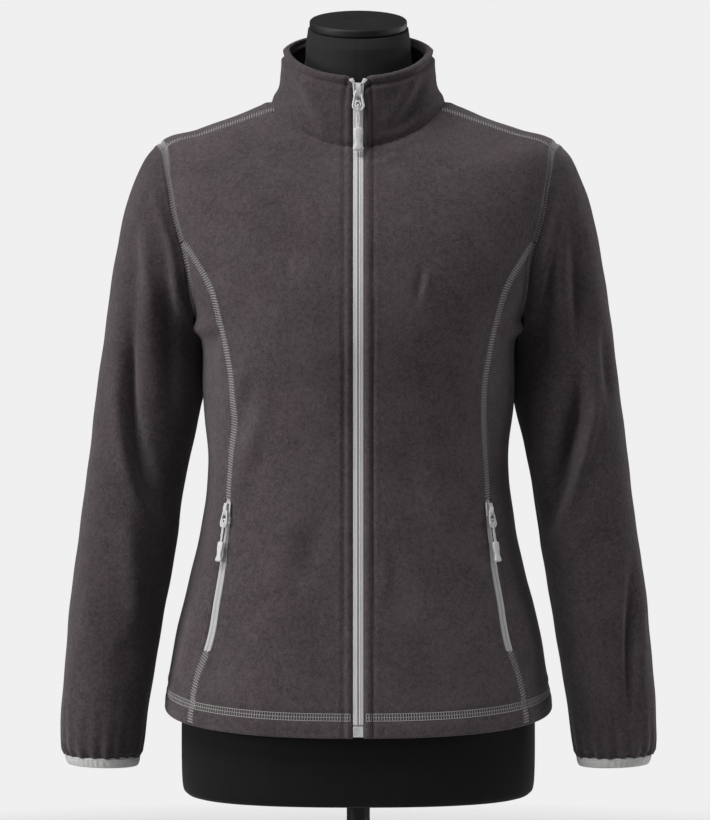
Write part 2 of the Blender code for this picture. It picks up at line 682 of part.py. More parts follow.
def seam_shift(vert, inward, layers, gaps, size):
    """Move of a boundary vertex that takes both of its edges their half gap back."""
    pushes = []
    for edge in vert.link_edges:
        if not edge.is_boundary:
            continue
        across = inward.cross(edge.other_vert(vert).co - vert.co).normalized()
        centre = edge.link_faces[0].calc_center_median()
        if across.dot(centre - vert.co) < 0:
            across.negate()
        pushes.append((across, edge_gap(edge, vert, layers, gaps, size)))
    (first, gap_1), (second, gap_2) = pushes
    cosine = max(first.dot(second), -0.9)
    if cosine > 0.999:
        return first * ((gap_1 + gap_2) / 2)
    part_1 = (gap_1 - gap_2 * cosine) / (1 - cosine ** 2)
    part_2 = (gap_2 - gap_1 * cosine) / (1 - cosine ** 2)
    return first * part_1 + second * part_2


def cloth(name, surface, levels, turns, inward, look, wall, gaps, closed=False, side=1, finer=None):
    """A closed wall of cloth through a net of levels and turns.

    wall is a thickness or one thickness for each row; gaps are the half gaps at the four edges;
    finer is the first row and the number of cuts of a denser band that runs to the top edge.
    """
    rows, columns = levels.shape[0] - 1, levels.shape[1] - 1
    bm = bmesh.new()
    bmesh.ops.create_grid(bm, x_segments=columns, y_segments=rows, size=0.5)
    column = bm.verts.layers.float.new("column")
    row = bm.verts.layers.float.new("row")
    depth = bm.verts.layers.float.new("depth")
    layer = bm.verts.layers.float_vector.new("inward")
    if finer:
        band = [e for e in bm.edges
                if abs(e.verts[0].co.y - e.verts[1].co.y) < 1e-6
                and (e.verts[0].co.y + 0.5) * rows > finer[0] - 0.01]
        bmesh.ops.subdivide_edges(bm, edges=band, cuts=finer[1], use_grid_fill=True)
    for vert in bm.verts:
        vert[column] = (vert.co.x + 0.5) * columns
        vert[row] = (vert.co.y + 0.5) * rows
    verts = list(bm.verts)
    at_level = np.array([read_net(levels, v[column], v[row]) for v in verts])
    at_turn = np.array([read_net(turns, v[column], v[row]) for v in verts])
    places = mirrored(surface(at_level, at_turn), side)
    for vert, place in zip(verts, places):
        vert.co = place
        vert[layer] = Vector(mirrored(read_net(inward, vert[column], vert[row]), side)).normalized()
        vert[depth] = wall if np.ndim(wall) == 0 else read_net(wall[:, None].repeat(2, 1), 0, vert[row])
    if closed:
        bmesh.ops.remove_doubles(bm, verts=bm.verts, dist=1e-6)
    layers = (column, row)
    size = (columns, rows)
    edge_verts = [v for v in bm.verts if v.is_boundary]
    shifts = [seam_shift(v, v[layer], layers, gaps, size) for v in edge_verts]
    for vert, shift in zip(edge_verts, shifts):
        vert.co += shift
    made = bmesh.ops.extrude_face_region(bm, geom=bm.faces[:], use_keep_orig=True)
    for vert in made["geom"]:
        if isinstance(vert, bmesh.types.BMVert):
            vert.co += vert[layer] * vert[depth]
    bmesh.ops.recalc_face_normals(bm, faces=bm.faces)
    bmesh.ops.triangulate(bm, faces=bm.faces, quad_method="SHORT_EDGE")
    return finish(name, bm, look)


def strip(name, left, right, inward, thick, look):
    """A tape between two lines of points."""
    bm = bmesh.new()
    bmesh.ops.create_grid(bm, x_segments=1, y_segments=len(left) - 1, size=0.5)
    bm.verts.ensure_lookup_table()
    down = bm.verts.layers.float_vector.new("down")
    for vert in bm.verts:
        row = round((vert.co.y + 0.5) * (len(left) - 1))
        line = left if vert.co.x < 0 else right
        vert.co = line[row]
        vert[down] = inward[row]
    made = bmesh.ops.extrude_face_region(bm, geom=bm.faces[:], use_keep_orig=True)
    for vert in made["geom"]:
        if isinstance(vert, bmesh.types.BMVert):
            vert.co += vert[down] * thick
    bmesh.ops.recalc_face_normals(bm, faces=bm.faces)
    return finish(name, bm, look)


def stacked(name, rings, look):
    """A closed solid through rings of points, capped at both ends."""
    bm = bmesh.new()
    count = len(rings[0])
    bmesh.ops.create_grid(bm, x_segments=count, y_segments=len(rings) - 1, size=0.5)
    for vert in bm.verts:
        row = round((vert.co.y + 0.5) * (len(rings) - 1))
        vert.co = rings[row][round((vert.co.x + 0.5) * count) % count]
    bmesh.ops.remove_doubles(bm, verts=bm.verts, dist=1e-6)
    bmesh.ops.holes_fill(bm, edges=[e for e in bm.edges if e.is_boundary], sides=0)
    bmesh.ops.recalc_face_normals(bm, faces=bm.faces)
    return finish(name, bm, look)


def colour(name, rgb, roughness, metallic=0.0):
    """A Principled material."""
    look = bpy.data.materials.new(name)
    look.use_nodes = True
    shader = look.node_tree.nodes["Principled BSDF"]
    shader.inputs["Base Color"].default_value = (*rgb, 1.0)
    shader.inputs["Roughness"].default_value = roughness
    shader.inputs["Metallic"].default_value = metallic
    look.diffuse_color = (*rgb, 1.0)
    return look


# ------------------------------------------------------------------------------------------ jacket

def even(gap=HALF_SEAM, **others):
    """Half gaps of a panel's four edges."""
    gaps = {"bottom": gap, "top": gap, "left": gap, "right": gap}
    gaps.update(others)
    return gaps


def build_fronts(look):
    levels, turns = front_net()
    inward = -outward(body, levels, turns)
    seam_rows = len(seam_levels())
    arm_end = seam_rows + ARMHOLE_FRONT_ROWS
    inward[seam_rows - 1:arm_end, -1] = armhole_inward(front_armhole_angles())
    inward[-1, :FRONT_NECK_COLUMNS + 1] = neck_inward(turns[-1, :FRONT_NECK_COLUMNS + 1])
    edge = np.full(len(levels), HALF_SEAM)
    edge[:seam_rows] = slot_gaps()
    for side, name in ((1, "front_left"), (-1, "front_right")):
        cloth(name, side_surface(side), levels, turns, inward, look, FLEECE,
              even(bottom=0, left=0, right=edge), side=side)


def side_surface(side):
    """The body surface for one side, read at positive turns and mirrored back afterwards."""
    return lambda level, turn: mirrored(body(level, turn * side), side)


def build_sides(look):
    levels, turns = side_net()
    inward = -outward(body, levels, turns)
    inward[-1] = armhole_inward(side_armhole_angles())
    for side, name in ((1, "side_left"), (-1, "side_right")):
        cloth(name, side_surface(side), levels, turns, inward, look, FLEECE,
              even(bottom=0, left=slot_gaps()), side=side)


def build_back(look):
    levels, turns = back_net()
    inward = -outward(body, levels, turns)
    seam_rows = len(seam_levels())
    arm_end = seam_rows + ARMHOLE_BACK_ROWS + ARMHOLE_TOP_ROWS
    shared = armhole_inward(back_armhole_angles())
    inward[seam_rows - 1:arm_end, 0] = shared
    inward[seam_rows - 1:arm_end, -1] = mirrored(shared, -1)
    neck = slice(SHOULDER_COLUMNS, SHOULDER_COLUMNS + BACK_NECK_COLUMNS + 1)
    inward[-1, neck] = neck_inward(turns[-1, neck])
    cloth("back", body, levels, turns, inward, look, FLEECE, even(bottom=0))


def build_collar(look):
    front_turns = front_net()[1][-1][:FRONT_NECK_COLUMNS + 1]
    back_turns = back_net()[1][-1][SHOULDER_COLUMNS:-SHOULDER_COLUMNS]
    base = np.concatenate([front_turns, back_turns[1:], 2 * math.pi - front_turns[::-1][1:]])
    levels, turns = [], []
    for level in np.linspace(0, COLLAR_TOP, COLLAR_ROWS + 1):
        edge = turn_at_x(COLLAR, level, ZIP_HALF_GAP)
        share = (base - base[0]) / (2 * math.pi - 2 * base[0])
        turns.append(edge + share * (2 * math.pi - 2 * edge))
        levels.append(np.full(len(base), level))
    levels, turns = np.array(levels), np.array(turns)
    inward = -outward(collar, levels, turns)
    inward[0] = neck_inward(turns[0])
    wall = np.full(COLLAR_ROWS + 1, COLLAR_WALL)
    wall[0] = COLLAR_SEAM_WALL
    cloth("collar", collar, levels, turns, inward, look, wall, even(0, bottom=HALF_SEAM))


def sleeve_angles():
    """Angles round the armhole where the body's pieces have their vertices, once round."""
    front = front_armhole_angles()
    back = back_armhole_angles()[::-1]
    under = side_armhole_angles()[::-1]
    return np.concatenate([front, back[1:], under[1:]])


def sleeve_net(first, last, rows):
    """Levels and turns round the sleeve; the last column closes on the first."""
    turns = sleeve_turn(sleeve_angles())
    turns = np.unwrap(turns)
    levels = np.linspace(first, last, rows + 1)
    return np.repeat(levels[:, None], len(turns), 1), np.repeat(turns[None], rows + 1, 0)


def build_sleeves(fleece, binding):
    levels, turns = sleeve_net(0, SLEEVE_END, SLEEVE_END)
    inward = -outward(sleeve, levels, turns)
    inward[0] = armhole_inward(sleeve_angles())
    cuff_levels, cuff_turns = sleeve_net(SLEEVE_END, SLEEVE_END + 1, 1)
    cuff_inward = -outward(plain_sleeve, cuff_levels, cuff_turns)
    inward[-1] = cuff_inward[0]
    for side, word in ((1, "left"), (-1, "right")):
        cloth("sleeve_" + word, sleeve, levels, turns, inward, fleece, FLEECE,
              even(), closed=True, side=side, finer=(SLEEVE_END - 1, 2))
        cloth("cuff_" + word, cuff_surface, cuff_levels, cuff_turns, cuff_inward, binding, BINDING,
              even(bottom=CLEAR, top=0), closed=True, side=side)


def cuff_surface(level, turn):
    """The binding, a little proud of the sleeve."""
    return plain_sleeve(level, turn) + CUFF_PROUD * outward(plain_sleeve, level, turn)


# ------------------------------------------------------------------------------------------- zips

def centre_line(x):
    """Points and outward directions of the front edge, hem end to collar end, x from the middle."""
    levels = front_net()[0][:, 0]
    levels = np.concatenate([[TAPE_START_LEVEL], levels[levels > TAPE_START_LEVEL + 0.05]])
    turns = turn_at_x(BODY, levels, x)
    points, normals = [body(levels, turns)], [outward(body, levels, turns)]
    collar_levels = np.linspace(0, COLLAR_TOP, COLLAR_ROWS + 1)[1:-1]
    collar_levels = np.append(collar_levels[collar_levels < TAPE_END_LEVEL], TAPE_END_LEVEL)
    collar_turns = turn_at_x(COLLAR, collar_levels, x)
    points.append(collar(collar_levels, collar_turns))
    normals.append(outward(collar, collar_levels, collar_turns))
    return np.concatenate(points), np.concatenate(normals)


def build_front_tapes(look):
    inner, normals = centre_line(TAPE_INNER)
    outer, _ = centre_line(TAPE_OUTER)
    for side, word in ((1, "left"), (-1, "right")):
        sunk = normals * TAPE_SINK
        strip("zip_tape_" + word, mirrored(inner - sunk, side), mirrored(outer - sunk, side),
              mirrored(-normals, side), TAPE_THICK, look)


def pocket_line(side):
    """Places, outward and sideways directions down the middle of a pocket zip."""
    levels = seam_levels()
    open_rows = slot_gaps() > HALF_SEAM * 2
    turns = seam_turn(FRONT_SEAM, levels, 1)
    surface = side_surface(side)
    points = surface(levels, turns)
    normals = outward(surface, levels, turns)
    steps = unit(np.diff(points, axis=0))
    along = unit(np.concatenate([steps[:1], steps[1:] + steps[:-1], steps[-1:]]))
    across = unit(np.cross(along, normals))
    points[np.flatnonzero(open_rows)[0]] += along[np.flatnonzero(open_rows)[0]] * TAPE_END_GAP
    points[np.flatnonzero(open_rows)[-1]] -= along[np.flatnonzero(open_rows)[-1]] * TAPE_END_GAP
    return tuple(mirrored(values[open_rows], side) for values in (points, normals, across))


def build_pocket_tapes(look):
    for side, word in ((1, "left"), (-1, "right")):
        points, normals, across = pocket_line(side)
        middle = points - normals * TAPE_SINK
        strip("pocket_tape_" + word, middle - across * POCKET_TAPE_HALF,
              middle + across * POCKET_TAPE_HALF, -normals, TAPE_THICK, look)


def local_frame(origin, out, up):
    """Matrix whose -Y is out and whose +Z is up along the zip."""
    out = Vector(out).normalized()
    up = Vector(up)
    up = (up - out * up.dot(out)).normalized()
    right = up.cross(out)
    matrix = Matrix((right, -out, up)).transposed().to_4x4()
    matrix.translation = Vector(origin)
    return matrix


def block(name, size, centre, bevel, look):
    """A box in its own frame with softened edges."""
    bm = bmesh.new()
    bmesh.ops.create_cube(bm, size=1)
    bmesh.ops.scale(bm, vec=size, verts=bm.verts)
    bmesh.ops.translate(bm, vec=centre, verts=bm.verts)
    if bevel:
        bmesh.ops.bevel(bm, geom=bm.edges[:], offset=bevel, segments=1, profile=0.5, affect="EDGES")
    return finish(name, bm, look)


def combine(item, other, operation):
    """A Boolean on an item; the other object is only its tool."""
    modifier = item.modifiers.new(operation.title(), "BOOLEAN")
    modifier.operation = operation
    modifier.object = other
    other.hide_render = True
    other.display_type = "WIRE"


def build_slider(name, matrix, scale, look):
    """Slider plate with an arch; its back face lies on the frame's origin plane."""
    plate_depth = SLIDER_PLATE[1]
    plate = block(name, SLIDER_PLATE, (0, -plate_depth / 2, 0), 0.0006, look)
    arch_out = plate_depth + SLIDER_ARCH[1] / 2 - 0.0005
    arch = block(name + "_arch", SLIDER_ARCH, (0, -arch_out, 0), 0.0006, look)
    window_out = plate_depth + SLIDER_WINDOW[1] / 2
    window = block(name + "_window", SLIDER_WINDOW, (0, -window_out, 0), 0, look)
    combine(plate, arch, "UNION")
    combine(plate, window, "DIFFERENCE")
    for item in (plate, arch, window):
        item.data.transform(Matrix.Scale(scale, 4))
        item.matrix_world = matrix
    return plate


def ring_outline(top, foot, length, count):
    """Outline of the puller: a small round top, straight sides and a wider round foot."""
    points = []
    for k in range(count):
        angle = math.pi * k / (count - 1)
        points.append((top * math.cos(angle), top * math.sin(angle)))
    for k in range(count):
        angle = math.pi + math.pi * k / (count - 1)
        points.append((foot * math.cos(angle), foot * math.sin(angle) - length))
    return points


def build_pull(name, matrix, scale, look):
    """Ring, cord and grip of a zip pull, turning about its own X axis."""
    straight = PULL_RING_LENGTH - PULL_RING_TOP - PULL_RING_FOOT
    top_z = PULL_BAR_OFFSET - PULL_RING_TOP
    bm = bmesh.new()
    loops = []
    for rim in (0, PULL_RING_RIM):
        outline = ring_outline(PULL_RING_TOP - rim, PULL_RING_FOOT - rim, straight, 6)
        loops.append([bm.verts.new((x, -PULL_RING_THICK / 2, z + top_z)) for x, z in outline])
    edges = []
    for loop in loops:
        for k, vert in enumerate(loop):
            edges.append(bm.edges.new((vert, loop[k - 1])))
    bmesh.ops.bridge_loops(bm, edges=edges)
    made = bmesh.ops.extrude_face_region(bm, geom=bm.faces[:], use_keep_orig=True)
    moved = [v for v in made["geom"] if isinstance(v, bmesh.types.BMVert)]
    bmesh.ops.translate(bm, vec=(0, PULL_RING_THICK, 0), verts=moved)
    bmesh.ops.recalc_face_normals(bm, faces=bm.faces)
    ring_item = finish(name, bm, look)
    rings = []
    for down, half_width, half_thick in PULL_CORD:
        turns = np.linspace(0, 2 * math.pi, 10, endpoint=False)
        rings.append([(half_width * math.cos(t), half_thick * math.sin(t), -down) for t in turns])
    cord = stacked(name + "_cord", rings, look)
    combine(ring_item, cord, "UNION")
    for item in (ring_item, cord):
        item.data.transform(Matrix.Scale(scale, 4))
        item.matrix_world = matrix
    return ring_item


def axis_height(scale):
    """Height of the pull's axis over the slider's back face."""
    return (SLIDER_PLATE[1] + SLIDER_WINDOW[1] / 2) * scale


def build_zip_ends(look, hard):
    """Bottom box, slider and pull of the front zip."""
    level = np.array(0.3)
    y = float(body(level, turn_at_x(BODY, level, 0.001))[1]) + BOX_SIZE[1] / 2 - 0.0004
    box = block("zip_box", BOX_SIZE, (0, 0, 0), 0.0005, look)
    box.location = (0, y, BOX_HEIGHT)
    levels = np.array([CENTRE_SLIDER_LEVEL, CENTRE_SLIDER_LEVEL + 0.2])
    turns = turn_at_x(COLLAR, levels, 0.001)
    low, high = collar(levels, turns)
    out = outward(collar, levels, turns)[0]
    origin = np.array([0, low[1], low[2]]) + out * (CLEAR - TAPE_SINK) * [0, 1, 1]
    matrix = local_frame(origin, (0, out[1], out[2]), (0, high[1] - low[1], high[2] - low[2]))
    build_slider("zip_slider", matrix, 1.0, hard)
    pivot = matrix @ Vector((0, -axis_height(1.0), 0))
    build_pull("zip_pull", local_frame(pivot, (0, -1, 0), (0, 0, 1)), 1.0, hard)


def build_pocket_ends(hard):
    """Slider and pull of each pocket zip."""
    for side, word in ((1, "left"), (-1, "right")):
        surface = side_surface(side)
        levels = np.array([POCKET_SLIDER_LEVEL, POCKET_SLIDER_LEVEL - 0.05, 3.05])
        turns = seam_turn(FRONT_SEAM, levels, 1)
        here, below, foot = mirrored(surface(levels, turns), side)
        out, _, foot_out = mirrored(outward(surface, levels, turns), side)
        origin = here + out * POCKET_SLIDER_PROUD
        matrix = local_frame(origin, out, here - below)
        build_slider("pocket_slider_" + word, matrix, POCKET_SCALE, hard)
        pivot = matrix @ Vector((0, -axis_height(POCKET_SCALE), 0))
        target = Vector(foot + foot_out * 0.0062)
        matrix = local_frame(pivot, out, pivot - target)
        up = (pivot - target).normalized()
        right = matrix.col[0].xyz
        matrix = Matrix((right, up.cross(right), up)).transposed().to_4x4()
        matrix.translation = pivot
        build_pull("pocket_pull_" + word, matrix, POCKET_SCALE, hard)


# ------------------------------------------------------------------------------------- dress form

def form_rings():
    """Rings of points of the dress form, bottom to neck top."""
    turns = np.linspace(0, 2 * math.pi, FORM_COLUMNS, endpoint=False)
    rings = [ring(FORM_HIP, np.full(FORM_COLUMNS, k), turns) for k in range(len(FORM_HIP))]
    keys, *eases = np.transpose(FORM_EASE)
    for value in FORM_LEVELS:
        level = np.full(FORM_COLUMNS, value)
        side_ease, front_ease, back_ease = through(keys, np.transpose(eases), np.array(value))
        facing = np.cos(turns)
        share = facing ** 2
        end_ease = np.where(facing > 0, front_ease, back_ease)
        ease = FLEECE + side_ease * (1 - share) + end_ease * share
        rings.append(plain_body(level, turns) - ease[:, None] * outward(plain_body, level, turns))
    rings += [ring(FORM_NECK_FOOT, np.full(FORM_COLUMNS, k), turns) for k in range(len(FORM_NECK_FOOT))]
    for height, middle_y, radius, tilt in FORM_NECK:
        tilt = math.radians(tilt)
        x = radius * np.sin(turns)
        y = -radius * np.cos(turns) * math.cos(tilt)
        rings.append(np.stack([x, middle_y + y, height + y * math.tan(tilt)], axis=-1))
    return rings


def disc(name, radius, thick, edge, look, sides=40):
    """A round plate about its own middle."""
    bm = bmesh.new()
    bmesh.ops.create_cone(bm, cap_ends=True, segments=sides, radius1=radius, radius2=radius, depth=thick)
    if edge:
        top = [e for e in bm.edges if all(v.co.z > 0 for v in e.verts)]
        bmesh.ops.bevel(bm, geom=top, offset=edge, segments=2, profile=0.5, affect="EDGES")
    return finish(name, bm, look)


def build_form(jersey, cap_look, steel):
    stacked("form_torso", form_rings(), jersey)
    cap = disc("form_neck_cap", CAP_RADIUS, CAP_THICK, 0.0015, cap_look, 32)
    cap.location = CAP_CENTRE
    cap.rotation_euler = (CAP_TILT, 0, 0)
    bottom = FORM_HIP[0][0]
    pole_low = BASE_THICK + CLEAR
    pole_high = bottom - CLEAR
    pole = disc("stand_pole", POLE_RADIUS, pole_high - pole_low, 0, steel, 24)
    pole.location = (0, 0, (pole_low + pole_high) / 2)
    base = disc("stand_base", BASE_RADIUS, BASE_THICK, BASE_EDGE, steel)
    base.location = (0, 0, BASE_THICK / 2)


def main():
    for item in list(bpy.data.objects):
        bpy.data.objects.remove(item, do_unlink=True)
    fleece = colour("fleece", (0.075, 0.064, 0.067), 0.95)
    binding = colour("binding", (0.42, 0.42, 0.41), 0.8)
    tape = colour("zip_tape", (0.50, 0.50, 0.50), 0.7)
    hard = colour("slider_enamel", (0.48, 0.48, 0.48), 0.4)
    jersey = colour("form_jersey", (0.014, 0.014, 0.015), 0.9)
    cap_look = colour("form_cap", (0.025, 0.025, 0.027), 0.8)
    steel = colour("stand_steel", (0.02, 0.02, 0.02), 0.45, 0.6)
    build_fronts(fleece)
    build_sides(fleece)
    build_back(fleece)
    build_collar(fleece)
    build_sleeves(fleece, binding)
    build_front_tapes(tape)
    build_pocket_tapes(tape)
    build_zip_ends(tape, hard)
    build_pocket_ends(hard)
    build_form(jersey, cap_look, steel)


main()
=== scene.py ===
import math

import bmesh
import bpy
import numpy as np
from mathutils import Matrix, Vector
from mathutils.bvhtree import BVHTree


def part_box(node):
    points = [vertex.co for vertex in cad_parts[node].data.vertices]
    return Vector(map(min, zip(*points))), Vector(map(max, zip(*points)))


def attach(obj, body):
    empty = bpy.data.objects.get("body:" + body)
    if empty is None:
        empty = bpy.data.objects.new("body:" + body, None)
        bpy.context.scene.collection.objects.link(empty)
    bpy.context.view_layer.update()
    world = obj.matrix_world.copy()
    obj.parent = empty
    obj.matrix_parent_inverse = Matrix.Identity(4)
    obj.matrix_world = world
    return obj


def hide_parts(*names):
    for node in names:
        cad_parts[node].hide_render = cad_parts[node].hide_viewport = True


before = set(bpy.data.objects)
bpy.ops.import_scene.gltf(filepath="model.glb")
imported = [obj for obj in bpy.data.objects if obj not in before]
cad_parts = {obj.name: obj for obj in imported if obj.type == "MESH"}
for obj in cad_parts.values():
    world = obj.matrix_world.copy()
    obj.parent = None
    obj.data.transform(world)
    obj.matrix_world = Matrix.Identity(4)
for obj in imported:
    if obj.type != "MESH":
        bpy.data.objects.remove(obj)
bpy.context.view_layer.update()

words = {"Left": 1, "Right": -1}  # the wearer's left is at +X
pieces = {}
mergeDistance, hair = 1e-6, 1e-5  # within these, points are one and faces lie in one plane


# a table written in millimetres, with plain numbers in its last columns
def metres(rows, plain=0):
    table = np.array(rows, dtype=float)
    table[:, :table.shape[1] - plain] /= 1000
    return table


# The cloth is read at a level (a real row number of a table of rings) and a turn (the angle round
# the ring: 0 at the front middle, a quarter turn at the wearer's left). A ring is a row of its heights
# at the side, front and back, its side's y, half width, front depth, back depth, roundness and fall.
# A fold is a row of 1 for the front or -1 for the back, height, half width and a line of x and height.
bodyCut = {
    # row 0 is the hem, 2 the hip, 5 waist, 7 bust, 8 armpit, 10 armhole, 12 shoulder tip, 15 neck seam
    "rings": metres((
        (315, 295.3, 293, 0, 200.5, 130, 115, 2.4, 1), (352, 340, 340, 0, 194.6, 128, 117, 2.4, 1),
        (400, 394, 394, 0, 186, 124.5, 116, 2.4, 1), (450, 446, 446, 0, 173.5, 120.5, 108, 2.4, 1),
        (500, 498, 498, 0, 162.1, 117.5, 100, 2.35, 1), (565, 565, 565, 0, 154.5, 116, 93, 2.3, 1),
        (630, 630, 630, 0, 160.5, 122.5, 96, 2.3, 1.1), (680, 678, 682, 0, 161, 131, 101, 2.3, 1.2),
        (708, 705, 712, 0, 165.5, 133.5, 104, 2.3, 1.3),
        (745, 738, 750, 0, 184, 132.5, 107, 2.35, 1.5), (790, 775, 795, 2, 197, 127, 108, 2.4, 1.6),
        (845, 812, 842, 5, 206.5, 118, 103, 2.5, 1.8), (896.3, 845, 884, 8, 204.7, 106, 93, 2.5, 1.8),
        (911.3, 862, 903, 8, 166, 95.5, 82, 2.3, 1.8), (925.8, 875, 919, 6, 126, 85, 70, 2.15, 1.7),
        (940, 885, 932, 2, 90.5, 77, 60, 2, 1.5),
    ), 2),
    # height and distance from the middle
    "frontSeam": metres((
        (295, 170), (330, 166.4), (357, 160.5), (378, 152.5), (430, 142.2), (461, 137), (502, 131.5),
        (540, 129.5), (590, 126.6), (650, 127.5), (705, 138.1), (746, 149.9), (770, 163.7),
        (800, 183.5),
    )),
    "backSeam": metres((
        (290, 148), (400, 138), (565, 113), (650, 118), (720, 138), (770, 164), (810, 190),
    )),
    "zipHalfGap": 0.0055, "shoulderCorner": math.radians(10), "shoulderAtNeck": 0.34,
    "slotLevels": (1.65, 4.5), "slotEnd": 0.03, "slotHalfWidth": 0.0043, "slotSpread": 0.012,
    "slotCover": (0.464, 0.488, 0.55),  # heights between which the front edge covers the tape, share
    "yokeSpread": 1.6, "edgeReach": 2.5, "ridgeSoftness": 0.08, "wall": 0.0020, "waves": 0.0005,
    "dense": 8, "across": 6,  # rows in one part of a seam, columns in one part of a row
    "folds": (
        (1, 5.3, 11, -89.5, 641.8, -110.3, 575.4, -127.1, 518.9),
        (1, -3.2, 9, -105.3, 657.6, -117.2, 620, -124.1, 580.4),
        (1, -4.6, 16, -28, 530.8, -60.7, 448.6, -95.4, 419.9),
        (1, 3.2, 18, -39.9, 471.4, -77.6, 421.8, -109.3, 382.2),
        (1, -1.8, 4, -66.7, 778.5, -69.7, 766.6, -67.7, 750.8),
        (1, -3.2, 8, -148.9, 377.3, -145.9, 360.4, -141, 342.6),
        (1, 3.2, 8, -111.3, 674.5, -116.2, 644.8, -117.2, 610.1),
        (1, 3.9, 12, 92.8, 657.6, 106.7, 600.2, 120.6, 525.9),
        (1, -4.6, 10, 86.9, 674.5, 98.8, 620, 114.6, 560.6),
        (1, -3.5, 14, 25.5, 496.2, 37.4, 446.6, 59.1, 411.9),
        (1, -2.3, 4, 64.1, 766.6, 61.1, 745.8, 57.2, 723),
        (1, 1.8, 5, 70, 762.7, 67.1, 743.8, 64.1, 724),
        (1, 1.8, 5, 22.5, 491.2, 27.4, 456.5, 25.5, 419.9),
        (1, 1.8, 4, 21.5, 863.7, 31.4, 872.6, 43.3, 879.6),
        (1, -2.1, 18, 41.3, 610.1, 56.2, 530.8, 71, 471.4),
        (1, 3.2, 7, -163.8, 428.2, -169.9, 387.9, -178.9, 347.5),
        (1, 2.6, 4, -184, 345.5, -189, 333.4, -192.1, 321.3),
        (1, -2.6, 7, -145.6, 700.7, -147.7, 660.4, -145.6, 609.9),
        (1, 2.8, 7, 163.2, 428.2, 170.3, 387.9, 177.3, 351.5),
        (1, 7.2, 9, -188, 707, -166, 706, -140, 698), (1, 7.2, 9, 188, 707, 166, 706, 140, 698),
        (-1, 2.4, 16, -80, 640, -95, 560, -110, 480), (-1, 2.4, 16, 70, 650, 90, 560, 105, 470),
        (-1, -2.2, 18, 0, 600, 6, 520, 10, 440), (-1, -1.6, 12, -50, 590, -20, 575, 20, 585),
        (-1, 1.2, 10, -45, 560, -10, 550, 40, 562), (-1, -2, 12, -120, 760, -100, 790, -85, 830),
        (-1, -2, 12, 120, 760, 102, 790, 87, 830),
    ),
}
armholeCut = {
    "level": 10.0, "rise": 2.0, "front": 0.545, "back": 0.50, "halfDepth": 0.062,
    "fullness": (1.25, 0.22), "fullnessLevels": (9.3, 11.2),  # pointed below, square over the shoulder
    "frontJoin": math.radians(87), "backJoin": math.radians(-88),
    "room": 0.35, "neckRoom": 0.8,  # how far off the seams the folds are whole
}
rowPoints, seamPoints, armholePoints = 201, 321, 1441  # points that a line is measured with
rings, neckLevel, corner = bodyCut["rings"], len(bodyCut["rings"]) - 1, bodyCut["shoulderCorner"]
dense, across = bodyCut["dense"], bodyCut["across"]
frontJoin, backJoin, fullTurn = armholeCut["frontJoin"], armholeCut["backJoin"], 2 * math.pi


def smooth(value, low, high):
    t = np.clip((value - low) / (high - low), 0, 1)
    return t * t * (3 - 2 * t)


def unit(vectors):
    return vectors / np.maximum(np.linalg.norm(vectors, axis=-1, keepdims=True), 1e-12)


def runLengths(places):
    return np.concatenate([[0], np.cumsum(np.linalg.norm(np.diff(places, axis=0), axis=1))])


# rows one after the other, without the first of each that repeats the last of the one before
def joined(first, *others):
    return np.concatenate([first] + [part[1:] for part in others])


def mirrored(places, side):
    return places * np.array([side, 1.0, 1.0])


def eased(start, end, leave, arrive, t):
    return (start + (end - start) * t * t * (3 - 2 * t)
            + leave * t * (1 - t) ** 2 - arrive * t * t * (1 - t))


# smooth values between the rows of a table
def through(keys, rows, at):
    keys, rows, at = (np.asarray(values, dtype=float) for values in (keys, rows, at))
    slopes = np.gradient(rows, keys, axis=0)
    low = np.clip(np.searchsorted(keys, at, side="right") - 1, 0, len(keys) - 2)
    span = keys[low + 1] - keys[low]
    t = (at - keys[low]) / span
    if rows.ndim > 1:
        span, t = span[..., None], t[..., None]
    return eased(rows[low], rows[low + 1], slopes[low] * span, slopes[low + 1] * span, t)


def rowAt(table, level):
    return through(np.arange(len(table)), table, level)


def reachAt(turn, n):
    return (np.abs(np.sin(turn)) ** n + np.abs(np.cos(turn)) ** n) ** (1 / n)


def onRings(table, level, turn):
    columns = np.moveaxis(rowAt(table, level), -1, 0)
    sideZ, frontZ, backZ, sideY, halfWidth, frontDepth, backDepth, roundness, fall = columns
    reach, ahead, soft = reachAt(turn, roundness), np.cos(turn) > 0, bodyCut["ridgeSoftness"]
    toward = np.abs(np.cos(turn)) / reach
    drop = (toward ** 2 + soft ** 2) ** (fall / 2) - soft ** fall
    drop = drop / ((1 + soft ** 2) ** (fall / 2) - soft ** fall)
    x = halfWidth * np.sin(turn) / reach
    y = sideY + np.where(ahead, -frontDepth, backDepth) * toward
    z = sideZ + (np.where(ahead, frontZ, backZ) - sideZ) * drop
    return np.stack([x, y, z], axis=-1)


def outward(surface, level, turn, step=0.001):
    alongTurn = surface(level, turn + step) - surface(level, turn - step)
    alongLevel = surface(level + step, turn) - surface(level - step, turn)
    return unit(np.cross(alongTurn, alongLevel))


def plainBody(level, turn):
    return onRings(rings, level, turn)


foldGain = 5  # how soon a fold is whole, away from where the cloth turns to the side


